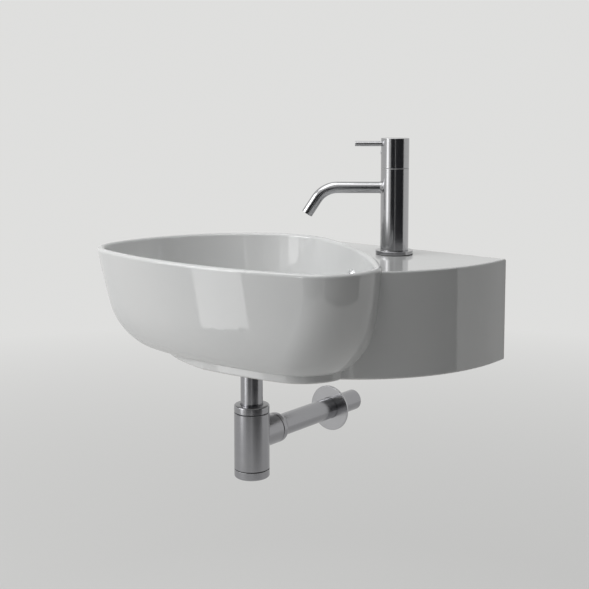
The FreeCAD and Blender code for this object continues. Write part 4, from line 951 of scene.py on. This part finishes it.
class BASIN_OT_fixings(Operator):
    """Model the threaded stud and the chamfered nuts of tap and wall"""

    bl_idname = "basin.fixings"
    bl_label = "Fixings"

    def execute(self, context):
        low, high = heights("tap_stud")
        thread = threaded(4, low + 0.6, high - 0.8, 1.25, 0.5)
        stud = turned("threaded_stud", [(3.2, low)] + thread + [(3.2, high)])
        finished(stood(smooth(stud), STUD), "zinc", "fixing_steel", "tap_stud")

        low, high = heights("clamp_nut")
        nut = self.hexagon("stud_nut", 13, 4.15, low, high)
        finished(stood(nut, STUD), "brass", "raw_brass", "clamp_nut")

        front, back = depths("wall_nuts")
        for name, side, nodes in (("right", 1, ["wall_nuts"]), ("left", -1, [])):
            nut = self.hexagon("wall_nut_" + name, 17, 5.25, -back, -front)
            finished(stood(nut, Vector((side * BOLT, 0, 0)), -TO_WALL), "zinc", "fixing_steel", *nodes)
        dressed("zinc", "wall_washers", "clamp_plate")
        dressed("white_plastic", "wall_sleeves")
        return {"FINISHED"}

    def hexagon(self, name, flats, bore, low, high):
        """A hexagon nut with chamfered corners and a countersunk bore."""
        settle()
        bpy.ops.mesh.primitive_cylinder_add(
            vertices=6, radius=flats / 2 / math.cos(math.pi / 6) * MM, depth=(high - low) * MM,
            location=(0, 0, (low + high) / 2 * MM))
        nut = rooted(bpy.context.object, name)
        inner, outer, mouth = flats / 2 * 0.98, flats / 2 + 1.6, bore + 1.2
        crown = turned("crown", [(inner, low), (outer, low + 1.0), (outer, high - 1.0), (inner, high)])
        joined(nut, crown, "INTERSECT")
        hole = turned("hole", [(mouth, low - 0.5), (bore, low + 0.7), (bore, high - 0.7), (mouth, high + 0.5)])
        joined(nut, hole, "DIFFERENCE")
        return smooth(nut)


class BASIN_OT_inner(Operator):
    """Dress the seals, the cartridge and the other pieces that keep their CAD form"""

    bl_idname = "basin.inner"
    bl_label = "Seals and cartridge"

    def execute(self, context):
        dressed("rubber", "waste_top_seal", "waste_bottom_seal", "inlet_washer", "collar_seal", "cup_seal",
                "outlet_seal", "rosette_seal", "base_seal", "clamp_seal")
        dressed("white_plastic", "click_sleeve", "glide_ring")
        dressed("dark_plastic", "cartridge_shell")
        dressed("disc", "fixed_disc", "turning_disc")
        dressed("brass", "cartridge_stem", "cartridge_nut")
        dressed("zinc", "head_screw")
        return {"FINISHED"}


# -------------------- studio


# Lamps: the setting of their power, width and height, place, and the point that they are aimed at.
LAMPS = (
    ("key", (0.42, 1.4), (-0.50, -1.32, 0.18), (0.08, -0.335, 0.18)),
    ("fill", (1.6, 1.2), (-1.5, -2.1, 1.3), (0.05, -0.2, 0.0)),
    ("top", (1.8, 1.8), (-0.2, -0.7, 2.0), (0.05, -0.15, 0.0)),
)

# Dark cards that metal and glaze mirror: name, width and height, place, and turn in degrees.
CARDS = (
    ("right_card", (2.4, 2.2), (1.75, -0.55, 0.1), 75),
    ("front_card", (1.5, 1.8), (0.8, -2.2, 0.1), 22),
)
CARD_COLOUR = (0.03, 0.03, 0.035)

# Side of the floor, and where it starts and ends fading into the backdrop, in metres.
FLOOR_SIDE = 60
FADE_START, FADE_END = 0.9, 3.4


class BASIN_OT_stage(Operator):
    """Lay the floor and set the cards, the backdrop, the lamps and the camera"""

    bl_idname = "basin.stage"
    bl_label = "Studio"

    def execute(self, context):
        studio = context.scene.basin_studio
        self.floor(studio)
        for values in CARDS:
            self.card(*values)
        self.backdrop(context, studio)
        for name, *values in LAMPS:
            self.lamp(context, name + "_lamp", getattr(studio, name), *values)
        self.camera(context, studio)
        context.scene.view_settings.view_transform = "Standard"
        return {"FINISHED"}

    def floor(self, studio):
        """A wide pale floor that takes the shadow and fades into the backdrop far away."""
        settle()
        bpy.ops.mesh.primitive_plane_add(size=FLOOR_SIDE, location=(0, 0, DECK - studio.floor_down))
        floor = bpy.context.object
        floor.name = "studio_floor"
        finish = Finish("studio_floor", 0.85)
        tree = finish.tree
        grain = finish.group("Grain", scale=6.0)
        finish.feed("Base Color", finish.blend(grain["Patches"], studio.floor, tinted(studio.floor, 0.985)))
        away = node(tree, "ShaderNodeVectorMath", [(0, finish.place)], operation="LENGTH").outputs["Value"]
        fade = finish.ramp(away, FADE_START, FADE_END)
        shine = finish.maths("ADD", finish.maths("MULTIPLY", fade, 1 - studio.lift), studio.lift)
        pale = finish.maths("MULTIPLY", shine, self.shown_rays(tree))
        haze = node(tree, "ShaderNodeEmission", [("Color", (*studio.floor, 1)), ("Strength", studio.backdrop)])
        mix = node(tree, "ShaderNodeMixShader", [(0, pale), (1, finish.shader.outputs[0]), (2, haze.outputs[0])])
        tree.links.new(mix.outputs[0], tree.nodes["Material Output"].inputs["Surface"])
        floor.data.materials.append(finish.material)

    def shown_rays(self, tree):
        """One for the rays that show the pale surroundings: the camera's, mirrored and bent ones."""
        rays = node(tree, "ShaderNodeLightPath").outputs
        mirrored = maths(tree, "MAXIMUM", rays["Is Glossy Ray"], rays["Is Transmission Ray"])
        return maths(tree, "MAXIMUM", rays["Is Camera Ray"], mirrored)

    def card(self, name, size, place, turn):
        """A dark card beside the view, which only mirrored and bent rays meet."""
        settle()
        bpy.ops.mesh.primitive_plane_add(size=1, location=place)
        card = bpy.context.object
        card.scale = (*size, 1)
        card.rotation_euler = (math.pi / 2, 0, math.radians(turn))
        rooted(card, name)
        finish = Finish(name, 0.9)
        finish.put("Base Color", (*CARD_COLOUR, 1))
        card.data.materials.append(finish.material)
        card.visible_camera = card.visible_shadow = card.visible_diffuse = False

    def backdrop(self, context, studio):
        """A pale world where it is seen or mirrored, and even light for everything else."""
        world = bpy.data.worlds.new("studio_world")
        context.scene.world = world
        world.use_nodes = True
        tree = world.node_tree
        tree.nodes.clear()
        shown = node(tree, "ShaderNodeBackground", [("Color", (*studio.floor, 1)), ("Strength", studio.backdrop)])
        plain = node(tree, "ShaderNodeBackground", [("Color", (1, 1, 1, 1)), ("Strength", studio.ambient)])
        mix = node(tree, "ShaderNodeMixShader", [
            (0, self.shown_rays(tree)), (1, plain.outputs[0]), (2, shown.outputs[0])])
        node(tree, "ShaderNodeOutputWorld", [("Surface", mix.outputs[0])])

    def lamp(self, context, name, watts, size, place, target):
        """A soft rectangular lamp aimed at a point."""
        data = bpy.data.lights.new(name, "AREA")
        data.shape = "RECTANGLE"
        data.size, data.size_y = size
        data.energy = watts
        way = Vector(target) - Vector(place)
        self.placed(context, data, place, way.to_track_quat("-Z", "Y").to_euler())

    def camera(self, context, studio):
        """The camera at the photograph's viewing angle."""
        data = bpy.data.cameras.new("camera")
        data.sensor_width = 36
        data.lens = studio.lens
        data.shift_y = studio.shift
        data.clip_start, data.clip_end = 0.01, 200
        turn = (math.pi / 2 - studio.pitch, 0, studio.azimuth)
        context.scene.camera = self.placed(context, data, studio.camera, turn)

    def placed(self, context, data, place, turn):
        """Set a lamp or the camera at its place."""
        made = bpy.data.objects.new(data.name, data)
        context.scene.collection.objects.link(made)
        made.location = place
        made.rotation_euler = turn
        return made


class BASIN_PT_sidebar(Panel):
    """Settings, and buttons for every piece in the order in which they are made"""

    bl_label = "Wall Hung Basin"
    bl_idname = "BASIN_PT_sidebar"
    bl_space_type = "VIEW_3D"
    bl_region_type = "UI"
    bl_category = "Basin"

    def draw(self, context):
        for group, kind in SETTINGS.items():
            rows = self.layout.box()
            for name in kind.__annotations__:
                rows.prop(getattr(context.scene, group), name)
        for step in STEPS:
            self.layout.operator(step.bl_idname)


SETTINGS = {
    "basin_glaze": GlazeSettings,
    "basin_steel": SteelSettings,
    "basin_turning": TurningSettings,
    "basin_studio": StudioSettings,
}
STEPS = (
    BASIN_OT_finishes,
    BASIN_OT_ceramic,
    BASIN_OT_waste,
    BASIN_OT_plug,
    BASIN_OT_inlet,
    BASIN_OT_bottle,
    BASIN_OT_outlet,
    BASIN_OT_tap_body,
    BASIN_OT_spout,
    BASIN_OT_tap_head,
    BASIN_OT_fixings,
    BASIN_OT_inner,
    BASIN_OT_stage,
)


def register():
    """Register the settings, the operators and the panel."""
    for name, group in SETTINGS.items():
        bpy.utils.register_class(group)
        setattr(bpy.types.Scene, name, PointerProperty(type=group))
    for step in STEPS:
        bpy.utils.register_class(step)
    bpy.utils.register_class(BASIN_PT_sidebar)


def unregister():
    """Take back everything that register added."""
    bpy.utils.unregister_class(BASIN_PT_sidebar)
    for step in reversed(STEPS):
        bpy.utils.unregister_class(step)
    for name, group in reversed(SETTINGS.items()):
        delattr(bpy.types.Scene, name)
        bpy.utils.unregister_class(group)


def main():
    """Build every piece in order."""
    register()
    for step in STEPS:
        group, name = step.bl_idname.split(".")
        getattr(getattr(bpy.ops, group), name)()
    settle()


if __name__ == "__main__":
    main()
